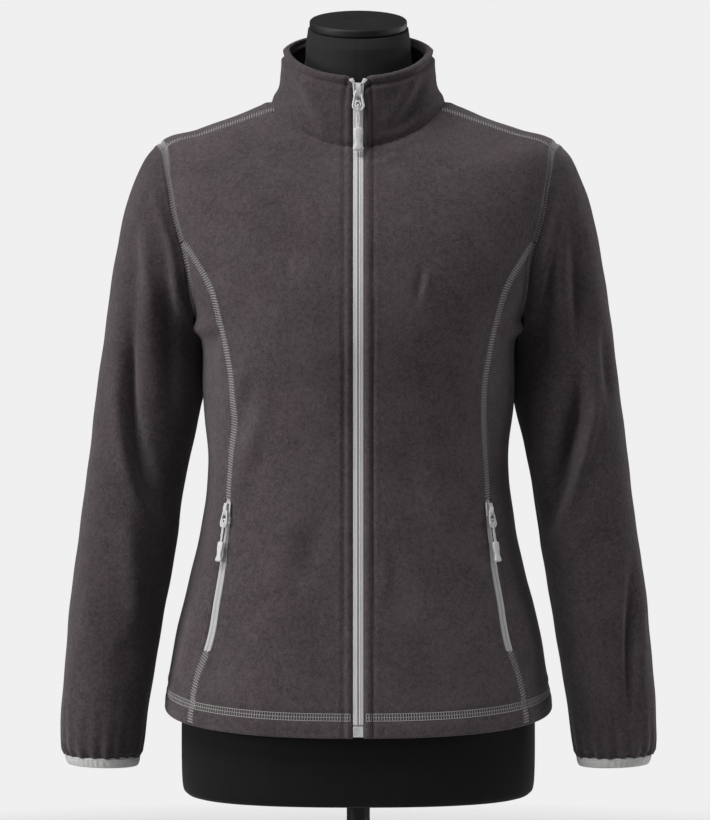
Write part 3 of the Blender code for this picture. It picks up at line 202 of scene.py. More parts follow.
# push of soft ridges and troughs along lines seen from the front or the back
def foldPush(place, facing, folds):
    total = np.zeros(place.shape[:-1])
    for face, *row in folds:
        height, width, *line = np.array(row) / 1000
        line = np.reshape(line, (-1, 2))
        line = rowAt(line, np.linspace(0, len(line) - 1, 4 * len(line)))
        starts, nearest, along = runLengths(line), np.full(total.shape, np.inf), np.zeros(total.shape)
        for start, step, before in zip(line, np.diff(line, axis=0), starts):
            size = math.hypot(*step)
            aside, up = place[..., 0] - start[0], place[..., 2] - start[1]
            t = np.clip((aside * step[0] + up * step[1]) / size ** 2, 0, 1)
            gap = np.hypot(aside - t * step[0], up - t * step[1])
            along = np.where(gap < nearest, (before + t * size) / starts[-1], along)
            nearest = np.minimum(gap, nearest)
        fade = np.sin(np.pi * along) * np.clip(facing * face * foldGain, 0, 1)
        total += height * fade * np.exp(-(nearest / width) ** 2)
    return total


# slow, shallow waves that keep a wide panel from being dead smooth
def slowWaves(place, height):
    x, y, z = np.moveaxis(place, -1, 0)
    waves = np.sin(47 * x + 23 * z + 1.3) * np.sin(31 * z - 19 * x + 9 * y + 0.4)
    waves = waves + 0.6 * np.sin(83 * x - 57 * z + 2.1) * np.sin(71 * z + 38 * x + 31 * y)
    return height * waves


def armholeFullness(level):
    under, over = armholeCut["fullness"]
    return under + (over - under) * smooth(level, *armholeCut["fullnessLevels"])


# 0 on the armhole and neck seams, 1 a little way off, so that neighbours meet there
def seamRoom(level, turn):
    ahead = np.where(np.cos(turn) > 0, armholeCut["front"], armholeCut["back"])
    share = np.abs(np.cos(turn)) / reachAt(turn, rowAt(rings, level)[..., 7]) / ahead
    room = ((level - armholeCut["level"]) / armholeCut["rise"]) ** 2
    room = room + share ** (2 / armholeFullness(level)) - 1
    return smooth(room, 0, armholeCut["room"]) * smooth(neckLevel - level, 0, armholeCut["neckRoom"])


def bodySurface(level, turn):
    place = plainBody(level, turn)
    push = foldPush(place, np.cos(turn), bodyCut["folds"]) + slowWaves(place, bodyCut["waves"])
    return place + (push * seamRoom(level, turn))[..., None] * outward(plainBody, level, turn)


def turnAtX(table, level, x):
    row = rowAt(table, level)
    share = np.clip(x / row[..., 4], 0, 1) ** row[..., 7]
    return np.arctan2(share ** (1 / row[..., 7]), (1 - share) ** (1 / row[..., 7]))


def turnAtShare(level, share, face):
    n = rowAt(rings, level)[..., 7]
    return np.arctan2((1 - share ** n) ** (1 / n), face * share)


def seamTurn(seam, level, face):
    heights, distances = np.transpose(seam)
    x = np.full(np.shape(level), distances.mean())
    for _ in range(12):
        turn = turnAtX(rings, level, x)
        turn = turn if face > 0 else math.pi - turn
        x = through(heights, distances, plainBody(level, turn)[..., 2])
    return turn


# level and turn of an angle round the armhole: 0 at the shoulder, forward to half a turn below
def armhole(angle):
    level = armholeCut["level"] + armholeCut["rise"] * np.cos(angle)
    ahead = np.sin(angle) >= 0
    share = np.where(ahead, armholeCut["front"], armholeCut["back"])
    share = share * np.abs(np.sin(angle)) ** armholeFullness(level)
    return level, turnAtShare(level, share, np.where(ahead, 1, -1))


# turns round the sleeve, by length, for the angles round the front or the back of the armhole
def armholeRun(face):
    shares = np.linspace(0, 1, armholePoints)
    angles = math.pi * shares ** 4 / (shares ** 4 + (1 - shares) ** 4)
    lengths = runLengths(plainBody(*armhole(face * angles)))
    return angles, lengths / lengths[-1] * math.pi


armholeRuns = [armholeRun(1), armholeRun(-1)]


def sleeveTurn(angle, order=1):
    front, back = (np.interp(np.abs(angle), *run[::order]) for run in armholeRuns)
    return np.where(angle >= 0, front, -back)


def armholeAngle(turn):
    return sleeveTurn(turn, -1)


def wrapped(turn):
    return (turn + math.pi) % fullTurn - math.pi


sleeveCut = {
    # outer x, outer height, inner x, inner height, middle y, half depth, share of the armhole kept
    "rings": metres((
        (210.5, 893, 166.2, 704.5, -5, 63, 0.97), (221.8, 878.8, 166, 702, -5, 63.8, 0.9),
        (235, 847.7, 164.5, 698, -5, 65, 0.7), (243.8, 816.7, 162.2, 692, -5, 64.5, 0.45),
        (250, 785.6, 160, 684, -4, 63.5, 0.2), (255.2, 753, 158.2, 673.5, -4, 62, 0.05),
        (259.8, 718, 157.6, 660, -4, 60, 0), (264.6, 682, 159.2, 643.5, -5, 58, 0),
        (269.3, 644, 163.4, 621, -7, 56, 0), (274.6, 599.3, 171.2, 583, -10, 53.5, 0),
        (279.6, 556, 179, 540, -14, 51, 0), (285.6, 506.2, 185.5, 491, -18, 48, 0),
        (291.4, 460, 192.7, 446, -21, 46, 0), (296.5, 413, 201, 400, -24, 43, 0),
        (301.1, 360, 209.4, 347, -27, 40.5, 0), (304, 315, 215.8, 304, -29, 38.5, 0),
        (304, 282.2, 219.8, 277, -30, 36, 0), (300.1, 268.3, 223.6, 266, -30, 33, 0),
        (296.2, 258.5, 226.6, 256.2, -30, 31.5, 0),
    ), 1),
    "flat": 0.55, "flatRings": (2.0, 12.5), "lean": 0.036, "leanRings": (2.0, 11.0),
    "gathers": 19, "gatherHeight": 0.0017, "gatherReach": 3.2, "capRoom": 1.2, "waves": 0.0006,
    "gatherDrift": 0.5, "gatherUneven": 0.4, "foldLean": 0.15,
    "folds": {1: (
        (1, 4.5, 8, 206.3, 827.7, 207.3, 751.7, 210.4, 675.7),
        (1, -8, 10, 219.5, 812.5, 222.5, 731.4, 229.6, 660.5),
        (1, -15, 11, 225.5, 670, 225, 620.5, 213, 572.6, 198.5, 524.4, 183, 485),
        (1, 8.2, 7, 237.5, 675, 238, 620.5, 226.2, 572.6, 211.8, 524.4, 194, 487),
        (1, -5.5, 6, 249, 710, 254, 670, 257, 620),
        (1, -5.5, 8, 190, 782.1, 189, 731.4, 188, 680.8, 186, 630.1),
        (1, 5.5, 5.5, 208, 840, 195, 800, 186, 751.7, 183.5, 700),
        (1, -7.2, 6, 280, 480, 276.5, 420, 274.5, 360, 276, 295),
        (1, 3.6, 8, 289, 460, 287, 400, 286, 320), (-1, -5, 14, 225, 800, 220, 700, 210, 620),
        (-1, -4, 12, 260, 630, 240, 570, 210, 530), (-1, 2.6, 12, 245, 550, 260, 450, 270, 350),
    ), -1: (
        (1, 4.5, 8, -219.1, 827.7, -215, 771.9, -209, 701),
        (1, -8, 11, -225.2, 817.5, -230.2, 731.4, -232.3, 640.3, -227.2, 589.6),
        (1, -15, 8, -233.7, 702.1, -230, 620.5, -216.5, 553.2, -190, 500),
        (1, 5.5, 10, -246, 690, -243, 620.5, -231, 553.2, -208, 495),
        (1, 8.5, 13, -233, 530, -229, 470, -227, 420, -240, 375),
        (1, -5.5, 8, -193.8, 787.1, -191, 731.4, -188, 630.1, -185, 599.7),
        (1, 5.5, 5.5, -210, 845.9, -196, 804.4, -187.7, 777, -182.6, 701),
        (1, 2.2, 10, -211, 711.2, -206.9, 660.5, -202.9, 620),
        (1, 2.2, 12, -269.7, 508.6, -273.8, 427.5, -275.8, 346.5),
        (1, -2.2, 12, -241.4, 468.1, -233.3, 407.3, -239.4, 326.2),
        (-1, -5, 14, -225, 800, -222, 700, -212, 620), (-1, -4, 12, -258, 620, -240, 565, -210, 530),
        (-1, 2.6, 12, -245, 540, -262, 440, -272, 340),
    )},
}
sleeveEnd = len(sleeveCut["rings"]) - 1


def hump(value, start, end):
    return math.sin(math.pi * min(max((value - start) / (end - start), 0), 1)) ** 2


# places of all the sleeve's rings at some turns; the first ones keep part of the armhole's outline
def sleeveRings(turn):
    hole = plainBody(*armhole(armholeAngle(wrapped(turn))))
    tip, pit = plainBody(*armhole(np.array([0, math.pi])))
    rise = (hole[..., 2] - pit[2]) / (tip[2] - pit[2])
    bow = hole[..., 0] - (pit[0] + (tip[0] - pit[0]) * rise)
    found = [hole]
    for number, row in enumerate(sleeveCut["rings"], start=1):
        outerX, outerZ, innerX, innerZ, middleY, halfDepth, kept = row
        power = 1 + (sleeveCut["flat"] - 1) * hump(number, *sleeveCut["flatRings"])
        reach = np.cos(turn)
        reach = np.where(reach < 0, -np.abs(reach) ** power, reach)
        share = kept * rise + (1 - kept) * (1 + reach) / 2
        x = innerX + (outerX - innerX) * share + bow * kept
        y = kept * hole[..., 1] * halfDepth / armholeCut["halfDepth"]
        y = y + (1 - kept) * (middleY - halfDepth * np.sin(turn))
        y = y + sleeveCut["lean"] * hump(number, *sleeveCut["leanRings"]) * np.clip(1 - share, 0, 1) ** 2
        found.append(np.stack([x, y, innerZ + (outerZ - innerZ) * share], axis=-1))
    return np.stack(found)


def plainSleeve(level, turn):
    level, turn = np.broadcast_arrays(np.asarray(level, dtype=float), np.asarray(turn, dtype=float))
    found, flat = sleeveRings(turn.ravel()), level.ravel()
    slopes = np.gradient(found, axis=0)
    low = np.clip(np.floor(flat).astype(int), 0, len(found) - 2)
    start, end = ((low + step, np.arange(len(flat))) for step in (0, 1))
    place = eased(found[start], found[end], slopes[start], slopes[end], (flat - low)[:, None])
    return place.reshape(level.shape + (3,))


def sleeveSurface(side, level, turn):
    seen = mirrored(plainSleeve(level, turn), side)
    push = foldPush(seen, np.sin(turn) + sleeveCut["foldLean"], sleeveCut["folds"][side])
    push = (push + slowWaves(seen, sleeveCut["waves"])) * np.clip(level / sleeveCut["capRoom"], 0, 1)
    nearCuff = np.clip(1 - (sleeveEnd - level) / sleeveCut["gatherReach"], 0, 1) ** 2
    gathers = np.sin(sleeveCut["gathers"] * turn + sleeveCut["gatherDrift"] * np.sin(3 * turn))
    gathers = gathers + sleeveCut["gatherUneven"] * np.sin(7 * turn + 1)
    push = push + sleeveCut["gatherHeight"] * nearCuff * gathers
    return seen + mirrored(push[..., None] * outward(plainSleeve, level, turn), side)


collarCut = {
    "rings": np.concatenate([rings[-1:], metres((
        (954, 903, 954, 1, 82.6, 77.5, 61, 2, 1.4), (969, 921, 976, 0, 80.3, 78, 62, 2, 1.2),
        (983.5, 939, 998.5, 0, 78.8, 78.5, 62.5, 2, 1.1),
        (996.2, 956.5, 1019.5, 0, 75.6, 78.5, 62.5, 2, 1),
    ), 2)]),
    "wall": 0.0060, "seamWall": 0.0025, "seamReach": 0.009, "cornerRadius": 0.0085, "ringStep": 0.0175,
    "rows": 32, "waves": 0.0003,
    "folds": (
        (1, -3.4, 6, -76, 966, -56, 926, -33, 890), (1, 2.6, 7, -65, 970, -44, 930, -24, 898),
        (1, -3.4, 6, 74, 970, 57, 932, 33, 898), (1, 2.6, 7, 63, 974, 46, 935, 24, 902),
        (1, 1.8, 6, -78, 938, -60, 912, -40, 896), (1, 1.8, 6, 78, 938, 60, 912, 40, 896),
    ),
}
collarTop = len(collarCut["rings"]) - 1


def plainCollar(level, turn):
    return onRings(collarCut["rings"], level, turn)


def collarSurface(level, turn):
    place = plainCollar(level, turn)
    push = foldPush(place, np.cos(turn), collarCut["folds"]) + slowWaves(place, collarCut["waves"])
    push = push * np.clip(level * 2, 0, 1)
    return place + push[..., None] * outward(plainCollar, level, turn)


# levels and turns of points an equal length apart along a line on the body
def spaced(levels, turns, columns):
    lengths = runLengths(plainBody(levels, turns))
    at = np.linspace(0, lengths[-1], columns + 1)
    return np.interp(at, lengths, levels), np.interp(at, lengths, turns)


# angles of points an equal length apart round the armhole
def evenAngles(first, last, parts):
    return armholeAngle(np.linspace(sleeveTurn(first), sleeveTurn(last), parts + 1))


def neckSeam(first, last, columns):
    return spaced(np.full(seamPoints, float(neckLevel)), np.linspace(first, last, seamPoints), columns)


def shoulderSeam(columns):
    start, _ = armhole(corner)
    first = armholeCut["front"] * math.sin(corner) ** armholeFullness(start)
    levels, shares = np.linspace((start, first), (neckLevel, bodyCut["shoulderAtNeck"]), seamPoints).T
    return spaced(levels, turnAtShare(levels, shares, 1), columns)


slotLow, slotHigh, slotEnd = *bodyCut["slotLevels"], bodyCut["slotEnd"]
armholeFoot = armholeCut["level"] + armholeCut["rise"] * math.cos(frontJoin)
seamLevels = np.concatenate([np.linspace(0, slotLow, 3 * dense + 1),
                             np.linspace(slotLow + slotEnd, slotHigh - slotEnd, 6 * dense + 1),
                             np.linspace(slotHigh, armholeFoot, 7 * dense + 1)])
slotRows = ((seamLevels > slotLow + slotEnd / 2) & (seamLevels < slotHigh - slotEnd / 2)).astype(float)
joinRow = len(seamLevels) - 1
frontArc = evenAngles(frontJoin, corner, 8 * dense)
backArc = joined(evenAngles(backJoin, 0, 7 * dense), evenAngles(0, corner, 2 * dense))
underArc = joined(evenAngles(frontJoin, math.pi, 4 * across), evenAngles(-math.pi, backJoin, 4 * across))
sleeveArc = joined(frontArc, backArc[::-1], underArc[::-1])
shoulder = shoulderSeam(4 * across)


# a net filled in between four edges, each a pair of levels and turns
def patch(bottom, top, left, right):
    bottom, top, left, right = (np.stack(edge, axis=-1) for edge in (bottom, top, left, right))
    u = np.linspace(0, 1, len(bottom))[None, :, None]
    v = np.linspace(0, 1, len(left))[:, None, None] ** bodyCut["yokeSpread"]
    net = (1 - v) * bottom[None] + v * top[None]
    net = net + (left[:, None] - net[:, :1]) * (1 - u) ** bodyCut["edgeReach"]
    net = net + (right[:, None] - net[:, -1:]) * u ** bodyCut["edgeReach"]
    return net[..., 0], net[..., 1]


def rowsBetween(levels, firsts, lasts, columns):
    rows = [spaced(np.full(rowPoints, level), np.linspace(first, last, rowPoints), columns)
            for level, first, last in zip(levels, firsts, lasts)]
    return [row[0] for row in rows], [row[1] for row in rows]


def frontNet():
    arm = armhole(frontArc)
    edge = seamTurn(bodyCut["frontSeam"], seamLevels, 1)
    edge[-1] = arm[1][0]
    zipTurns = turnAtX(rings, seamLevels, bodyCut["zipHalfGap"])
    levels, turns = rowsBetween(seamLevels, zipTurns, edge, 10 * across)
    neck = neckSeam(turnAtX(rings, neckLevel, bodyCut["zipHalfGap"]), shoulder[1][-1], 6 * across)
    rise = np.linspace(0, 1, len(frontArc)) ** bodyCut["yokeSpread"]
    zipLevels = rise * (neckLevel - seamLevels[-1]) + seamLevels[-1]
    zipEdge = (zipLevels, turnAtX(rings, zipLevels, bodyCut["zipHalfGap"]))
    top = [joined(neck[k], shoulder[k][::-1]) for k in (0, 1)]
    yoke = patch((levels[-1], turns[-1]), top, zipEdge, arm)
    return joined(levels, yoke[0]), joined(turns, yoke[1])


def backSeamRows():
    join, turn = armhole(backJoin)
    levels = seamLevels * (join / seamLevels[-1])
    turns = seamTurn(bodyCut["backSeam"], levels, -1)
    turns[-1] = turn
    return levels, turns


def sideNet():
    frontTurns = seamTurn(bodyCut["frontSeam"], seamLevels, 1)
    frontTurns[-1] = armhole(frontJoin)[1]
    left = np.stack([seamLevels, frontTurns], axis=-1)
    right, top = (np.stack(edge, axis=-1) for edge in (backSeamRows(), armhole(underArc)))
    hem = spaced(np.zeros(seamPoints), np.linspace(frontTurns[0], right[0, 1], seamPoints), len(top) - 1)
    bottom = np.stack([hem[1] * 0, hem[1]], axis=-1)
    u = np.linspace(0, 1, len(top))[None, :, None]
    v = (seamLevels / seamLevels[-1])[:, None, None]
    net = (1 - u) * left[:, None] + u * right[:, None]
    for edge, weight in ((bottom, 1 - v), (top, v ** 2)):
        net = net + weight * (edge - (1 - u[0]) * edge[0] - u[0] * edge[-1])[None]
    return net[..., 0], net[..., 1]


def backNet():
    seamRows, seamTurns = backSeamRows()
    levels, turns = rowsBetween(seamRows, seamTurns, fullTurn - seamTurns, 20 * across)
    arm = armhole(backArc)
    neck = neckSeam(shoulder[1][-1], fullTurn - shoulder[1][-1], 12 * across)
    top = (joined(shoulder[0], neck[0], shoulder[0][::-1]),
           joined(shoulder[1], neck[1], fullTurn - shoulder[1][::-1]))
    yoke = patch((levels[-1], turns[-1]), top, arm, (arm[0], fullTurn - arm[1]))
    return joined(levels, yoke[0]), joined(turns, yoke[1])


# kinds of edge in millimetres: ridges as distance from the edge, width and height, then the wall,
# how far it reaches in, and whether the edge is a fold of the cloth
clothEdges = {
    "seam": (((0, 3.0, -0.7), (6.2, 2.2, 0.4)), 2.0, 4.0, False),
    "shoulder": (((0, 2.2, -0.7), (5.8, 2.0, 0.3)), 2.0, 4.0, False),
    "neck": (((0, 3.4, -1.2), (8.0, 3.4, 0.5)), 2.0, 4.0, False),
    "hem": (((10, 5.5, 0.7), (19, 1.2, -0.6), (22, 4.5, -0.7), (25, 1.2, -0.5), (30.5, 3.0, 0.5)),
            4.2, 27.5, True),
    "zip": (((4.6, 2.7, 1.1), (9.0, 1.6, -1.4), (12.7, 2.4, 0.5)), 4.2, 13.5, True),
    "slot": (((3.2, 1.6, 0.3),), 3.2, 7.0, True),
    "slotFlap": (((5.0, 1.7, 1.1), (7.9, 1.0, -0.9)), 3.2, 10.0, True),
    "collarEnd": (((4.8, 2.7, 0.8), (9.0, 1.7, -1.5), (12.8, 2.5, 0.5)), 6.0, 900, True),
    "collarTop": (((4.2, 3.0, 1.2), (9.0, 2.4, -2.1), (14.0, 3.5, 0.6)), 6.0, 900, True),
}
fineCells = (0.04, 0.13, 0.27, 0.45, 0.68, 1.4, 2.5)
seamBlend, wallFade, leastBulge = 0.006, 0.002, 0.1
sleeveNear, neckNear = 0.05, 0.01  # levels past a seam at which its shared direction is read
grids, gridNormals, seamKeys, clothTrees = {}, {}, {}, {}


# finer rows or columns close to the two ends
def cuts(count):
    cells = set(range(count + 1)) | set(fineCells) | {count - cell for cell in fineCells}
    return np.array(sorted(cells), dtype=float)


def resampled(net, rowsAt, columnsAt):
    row = np.minimum(rowsAt.astype(int), net.shape[0] - 2)
    column = np.minimum(columnsAt.astype(int), net.shape[1] - 2)
    t, s = (rowsAt - row)[:, None], columnsAt - column
    net = net[row] * (1 - t) + net[row + 1] * t
    return net[:, column] * (1 - s) + net[:, column + 1] * s


def fineNet(net):
    rowsAt, columnsAt = (cuts(size - 1) for size in net[0].shape)
    return rowsAt, columnsAt, *(resampled(values, rowsAt, columnsAt) for values in net)


def edgeDistances(places):
    fromLeft = np.array([runLengths(row) for row in places])
    fromBottom = np.array([runLengths(column) for column in places.transpose(1, 0, 2)]).T
    return {"left": fromLeft, "right": fromLeft[:, -1:] - fromLeft,
            "bottom": fromBottom, "top": fromBottom[-1:] - fromBottom}


# places and wall depths of a piece after its edges are shaped
def shaped(places, normals, plan, wall):
    distances = edgeDistances(places)
    acrossRows, alongRows = (unit(np.gradient(places, axis=axis)) for axis in (1, 0))
    away = {"left": acrossRows, "right": -acrossRows, "bottom": alongRows, "top": -alongRows}
    push = np.zeros(places.shape[:-1])
    roll, depth, cap, moved = push.copy(), push + wall, push + 1.0, places.copy()
    for edge, kind, weight in plan:
        ridges, thick, reach, rolled = clothEdges[kind]
        d, thick, reach = distances[edge], thick / 1000, reach / 1000
        weight = np.asarray(weight, dtype=float)
        weight = weight[:, None] if edge in ("left", "right") and weight.ndim else weight
        weight = weight + np.zeros_like(d)
        for at, width, height in metres(ridges):
            push += weight * height * np.exp(-((d - at) / width) ** 2)
        within = 1 - smooth(d, reach - wallFade, reach)
        depth = np.maximum(depth, wall + weight * (thick - wall) * within)
        if rolled:
            half = thick / 2
            inside = np.clip(half - d, 0, half)
            bulge = np.sqrt(np.maximum(half ** 2 - inside ** 2, (leastBulge * half) ** 2))
            roll = np.minimum(roll, np.where(weight > 0.5, bulge - half, 0))
            cap = np.minimum(cap, np.where((weight > 0.5) & (d < half), 2 * bulge, 1.0))
        if kind in ("slot", "slotFlap"):
            gap = weight * bodyCut["slotHalfWidth"] * (1 - smooth(d, 0, bodyCut["slotSpread"]))
            if kind == "slot":
                foot, top, share = bodyCut["slotCover"]
                gap *= 1 - share * smooth(places[..., 2], foot, top)
            moved += away[edge] * gap[..., None]
    return moved + normals * (push + roll)[..., None], np.minimum(depth, cap)


def finished(name, bm, look, sharpAngle=None, place=None):
    if place:
        bmesh.ops.transform(bm, matrix=place, verts=bm.verts)
    mesh = bpy.data.meshes.new(name)
    bm.to_mesh(mesh)
    bm.free()
    mesh.shade_smooth()
    if sharpAngle:
        mesh.set_sharp_from_angle(angle=math.radians(sharpAngle))
    mesh.materials.append(look)
    pieces[name] = bpy.data.objects.new(name, mesh)
    bpy.context.scene.collection.objects.link(pieces[name])
    return pieces[name]


def laidGrid(bm, places):
    rows, columns = places.shape[0] - 1, places.shape[1] - 1
    verts = bmesh.ops.create_grid(bm, x_segments=columns, y_segments=rows, size=0.5)["verts"]
    spots = {vert: (round((vert.co.y + 0.5) * rows), round((vert.co.x + 0.5) * columns))
             for vert in verts}
    for vert, spot in spots.items():
        vert.co = places[spot]
    return spots


# grids laid on outer places, each with a wall that reaches to its inner places
def walledPiece(name, layers, look, closed=False, charted=True):
    bm = bmesh.new()
    lining = bm.verts.layers.float_vector.new("lining")
    chart = bm.loops.layers.uv.new("cloth") if charted else None
    for outer, inner in layers:
        spots = laidGrid(bm, outer)
        for vert, spot in spots.items():
            vert[lining] = inner[spot]
    if charted:
        lengths = edgeDistances(outer)
        for loop in (loop for face in bm.faces for loop in face.loops):
            loop[chart].uv = [lengths[edge][spots[loop.vert]] for edge in ("left", "bottom")]
    if closed:
        bmesh.ops.remove_doubles(bm, verts=bm.verts, dist=mergeDistance)
    bmesh.ops.recalc_face_normals(bm, faces=bm.faces)
    extruded = bmesh.ops.extrude_face_region(bm, geom=bm.faces[:], use_keep_orig=True)["geom"]
    for vert in extruded:
        if isinstance(vert, bmesh.types.BMVert):
            vert.co = vert[lining]
    bmesh.ops.recalc_face_normals(bm, faces=bm.faces)
    bm.verts.layers.float_vector.remove(lining)
    return finished(name, bm, look)


# a piece of cloth whose outer places and directions are kept for the sewing
def clothPiece(name, outer, inner, out, look, closed=False):
    if closed:  # the last column is the first one again
        outer[:, -1], inner[:, -1] = outer[:, 0], inner[:, 0]
    grids[name], gridNormals[name] = outer, out
    walledPiece(name, [(outer, inner)], look, closed)


# directions that lean to the ones shared at a seam, close to it
def leaned(inward, shared, distance, weight=1.0):
    near = (weight * np.exp(-(distance / seamBlend) ** 2))[..., None]
    return unit(inward * (1 - near) + shared * near)


def armholeInward(angles):
    fromSleeve = outward(plainSleeve, np.full(np.shape(angles), sleeveNear), sleeveTurn(angles))
    return -unit(outward(plainBody, *armhole(angles)) + fromSleeve)


def neckInward(turns):
    level = np.zeros(np.shape(turns))
    fromBody = outward(plainBody, level + neckLevel - neckNear, turns)
    return -unit(fromBody + outward(plainCollar, level + neckNear, turns))


# one or two panels of the body from one net, with the seams that they share
def buildPanels(names, levels, turns, plan, sharedEdges, look):
    for name, side in names.items():
        places = bodySurface(levels, turns * side)
        inward, distances = -outward(plainBody, levels, turns * side), edgeDistances(places)
        for edge, shared, weight in sharedEdges:
            if edge != "top":
                shared, weight = shared[:, None], weight[:, None]
            inward = leaned(inward, mirrored(shared, side), distances[edge], weight)
        outer, depth = shaped(places, -inward, plan, bodyCut["wall"])
        clothPiece(name, outer, outer + inward * depth[..., None], -inward, look)


def keyed(key, rowsAt, columnsAt, at, arc):
    angles = np.interp(at, np.arange(len(arc)), arc)
    seamKeys[key] = {"rows": rowsAt, "columns": columnsAt, "angles": angles}
    slot = np.interp(rowsAt, np.arange(len(slotRows)), slotRows, right=0)
    return angles, slot, (rowsAt >= joinRow).astype(float)


def buildFronts(look):
    rowsAt, columnsAt, levels, turns = fineNet(frontNet())
    angles, slot, arm = keyed("front", rowsAt, columnsAt, rowsAt - joinRow, frontArc)
    neck = (columnsAt <= 6 * across).astype(float)
    shared = [("right", armholeInward(angles), arm), ("top", neckInward(turns[-1]), neck)]
    plan = [("left", "zip", 1.0), ("bottom", "hem", 1.0), ("right", "slot", slot),
            ("right", "seam", 1 - slot), ("top", "neck", neck), ("top", "shoulder", 1 - neck)]
    buildPanels({"frontLeft": 1, "frontRight": -1}, levels, turns, plan, shared, look)
    return turns[-1][columnsAt == columnsAt.astype(int)][:6 * across + 1]


def buildSides(look):
    rowsAt, columnsAt, levels, turns = fineNet(sideNet())
    angles, slot, _ = keyed("side", rowsAt, columnsAt, columnsAt, underArc % fullTurn)
    shared = [("top", armholeInward(wrapped(angles)), np.ones(len(columnsAt)))]
    plan = [("bottom", "hem", 1.0), ("left", "slotFlap", slot), ("left", "seam", 1 - slot),
            ("right", "seam", 1.0), ("top", "seam", 1.0)]
    buildPanels({"sideLeft": 1, "sideRight": -1}, levels, turns, plan, shared, look)


def buildBack(look):
    rowsAt, columnsAt, levels, turns = fineNet(backNet())
    angles, _, arm = keyed("back", rowsAt, columnsAt, rowsAt - joinRow, backArc)
    neck = ((columnsAt >= 4 * across) & (columnsAt <= 16 * across)).astype(float)
    hole = armholeInward(angles)
    shared = [("left", hole, arm), ("right", mirrored(hole, -1), arm),
              ("top", neckInward(turns[-1]), neck)]
    plan = [("bottom", "hem", 1.0), ("left", "seam", 1.0), ("right", "seam", 1.0),
            ("top", "neck", neck), ("top", "shoulder", 1 - neck)]
    buildPanels({"backPanel": 1}, levels, turns, plan, shared, look)
    return turns[-1][columnsAt == columnsAt.astype(int)][4 * across:-4 * across]


def sleeveNet(first, last, rows):
    turns = np.unwrap(sleeveTurn(sleeveArc))
    return np.broadcast_arrays(np.linspace(first, last, rows + 1)[:, None], turns[None])


def buildSleeve(name, side, look):
    levels, turns = (resampled(values, cuts(9 * sleeveEnd), np.arange(len(sleeveArc)) * 1.0)
                     for values in sleeveNet(0, sleeveEnd, 9 * sleeveEnd))
    places = sleeveSurface(side, levels, turns)
    inward, shared = -outward(plainSleeve, levels, turns), armholeInward(wrapped(sleeveArc))
    inward = leaned(mirrored(inward, side), mirrored(shared, side), edgeDistances(places)["bottom"])
    plan = [("bottom", "seam", 1.0), ("top", "seam", 1.0)]
    outer, depth = shaped(places, -inward, plan, bodyCut["wall"])
    seamKeys[name] = np.unwrap(wrapped(sleeveArc))
    clothPiece(name, outer, outer + inward * depth[..., None], -inward, look, closed=True)


bindingCut = {
    "wall": 0.0026, "proud": 0.0009, "rows": 22, "clear": 0.0003,
    "square": 5, "least": 0.012,  # how square its rounded edges are, and how thin they end
    "puckers": 38, "puckerHeight": 0.00025, "puckerDrift": (2, 5),
    "stitchAt": 0.0022, "stitchWidth": 0.0006, "stitchDepth": 0.0004,
}


# the folded stretch band that holds the gathered end of the sleeve
def buildBinding(name, side, look):
    cut, half = bindingCut, bindingCut["wall"] / 2
    levels, turns = sleeveNet(sleeveEnd, sleeveEnd + 0.9999, cut["rows"])
    places = mirrored(plainSleeve(levels, turns), side)
    normals = mirrored(outward(plainSleeve, np.minimum(levels, sleeveEnd + 0.9), turns), side)
    up = edgeDistances(places)["bottom"]
    share = np.clip(up / up[-1:], 0, 1)
    rounding = np.sqrt(np.clip(1 - np.abs(2 * share - 1) ** cut["square"], cut["least"], 1))
    drift, drifts = cut["puckerDrift"]
    puckers = cut["puckerHeight"] * np.sin(cut["puckers"] * turns + drift * np.sin(drifts * turns))
    stitchLine = -cut["stitchDepth"] * np.exp(-((up - cut["stitchAt"]) / cut["stitchWidth"]) ** 2)
    push = cut["proud"] - half + half * rounding + puckers * np.sin(np.pi * share) + stitchLine
    outer = places + normals * push[..., None]
    outer = outer + unit(np.gradient(places, axis=0)) * cut["clear"] * (1 - share)[..., None]
    inner = outer - normals * (2 * half * rounding)[..., None]
    clothPiece(name, outer, inner, normals, look, closed=True)


def buildCollar(frontTurns, backTurns, look):
    cut = collarCut
    base = joined(frontTurns, backTurns, fullTurn - frontTurns[::-1])
    share = (base - base[0]) / (fullTurn - 2 * base[0])
    levels = np.repeat(np.linspace(0, collarTop, cut["rows"] + 1)[:, None], len(base), axis=1)
    edge = turnAtX(cut["rings"], levels[:, :1], bodyCut["zipHalfGap"])
    _, _, levels, turns = fineNet((levels, edge + share * (fullTurn - 2 * edge)))
    distances, radius = edgeDistances(plainCollar(levels, turns)), cut["cornerRadius"]
    fromEnd = np.minimum(distances["left"], distances["right"])
    drop = radius - np.sqrt(radius ** 2 - np.clip(radius - fromEnd, 0, radius) ** 2)
    levels = levels - drop / cut["ringStep"] * (levels / collarTop) ** 3
    places = collarSurface(levels, turns)
    up = edgeDistances(places)["bottom"]
    inward = leaned(-outward(plainCollar, levels, turns), neckInward(turns[0]), up)
    plan = [("bottom", "neck", 1.0), ("left", "collarEnd", 1.0), ("right", "collarEnd", 1.0),
            ("top", "collarTop", 1.0)]
    outer, depth = shaped(places, -inward, plan, cut["wall"])
    most = cut["seamWall"] + (cut["wall"] - cut["seamWall"]) * smooth(up, 0, cut["seamReach"])
    inner = outer + inward * np.minimum(depth, most)[..., None]
    clothPiece("collarBand", outer, inner, -inward, look)


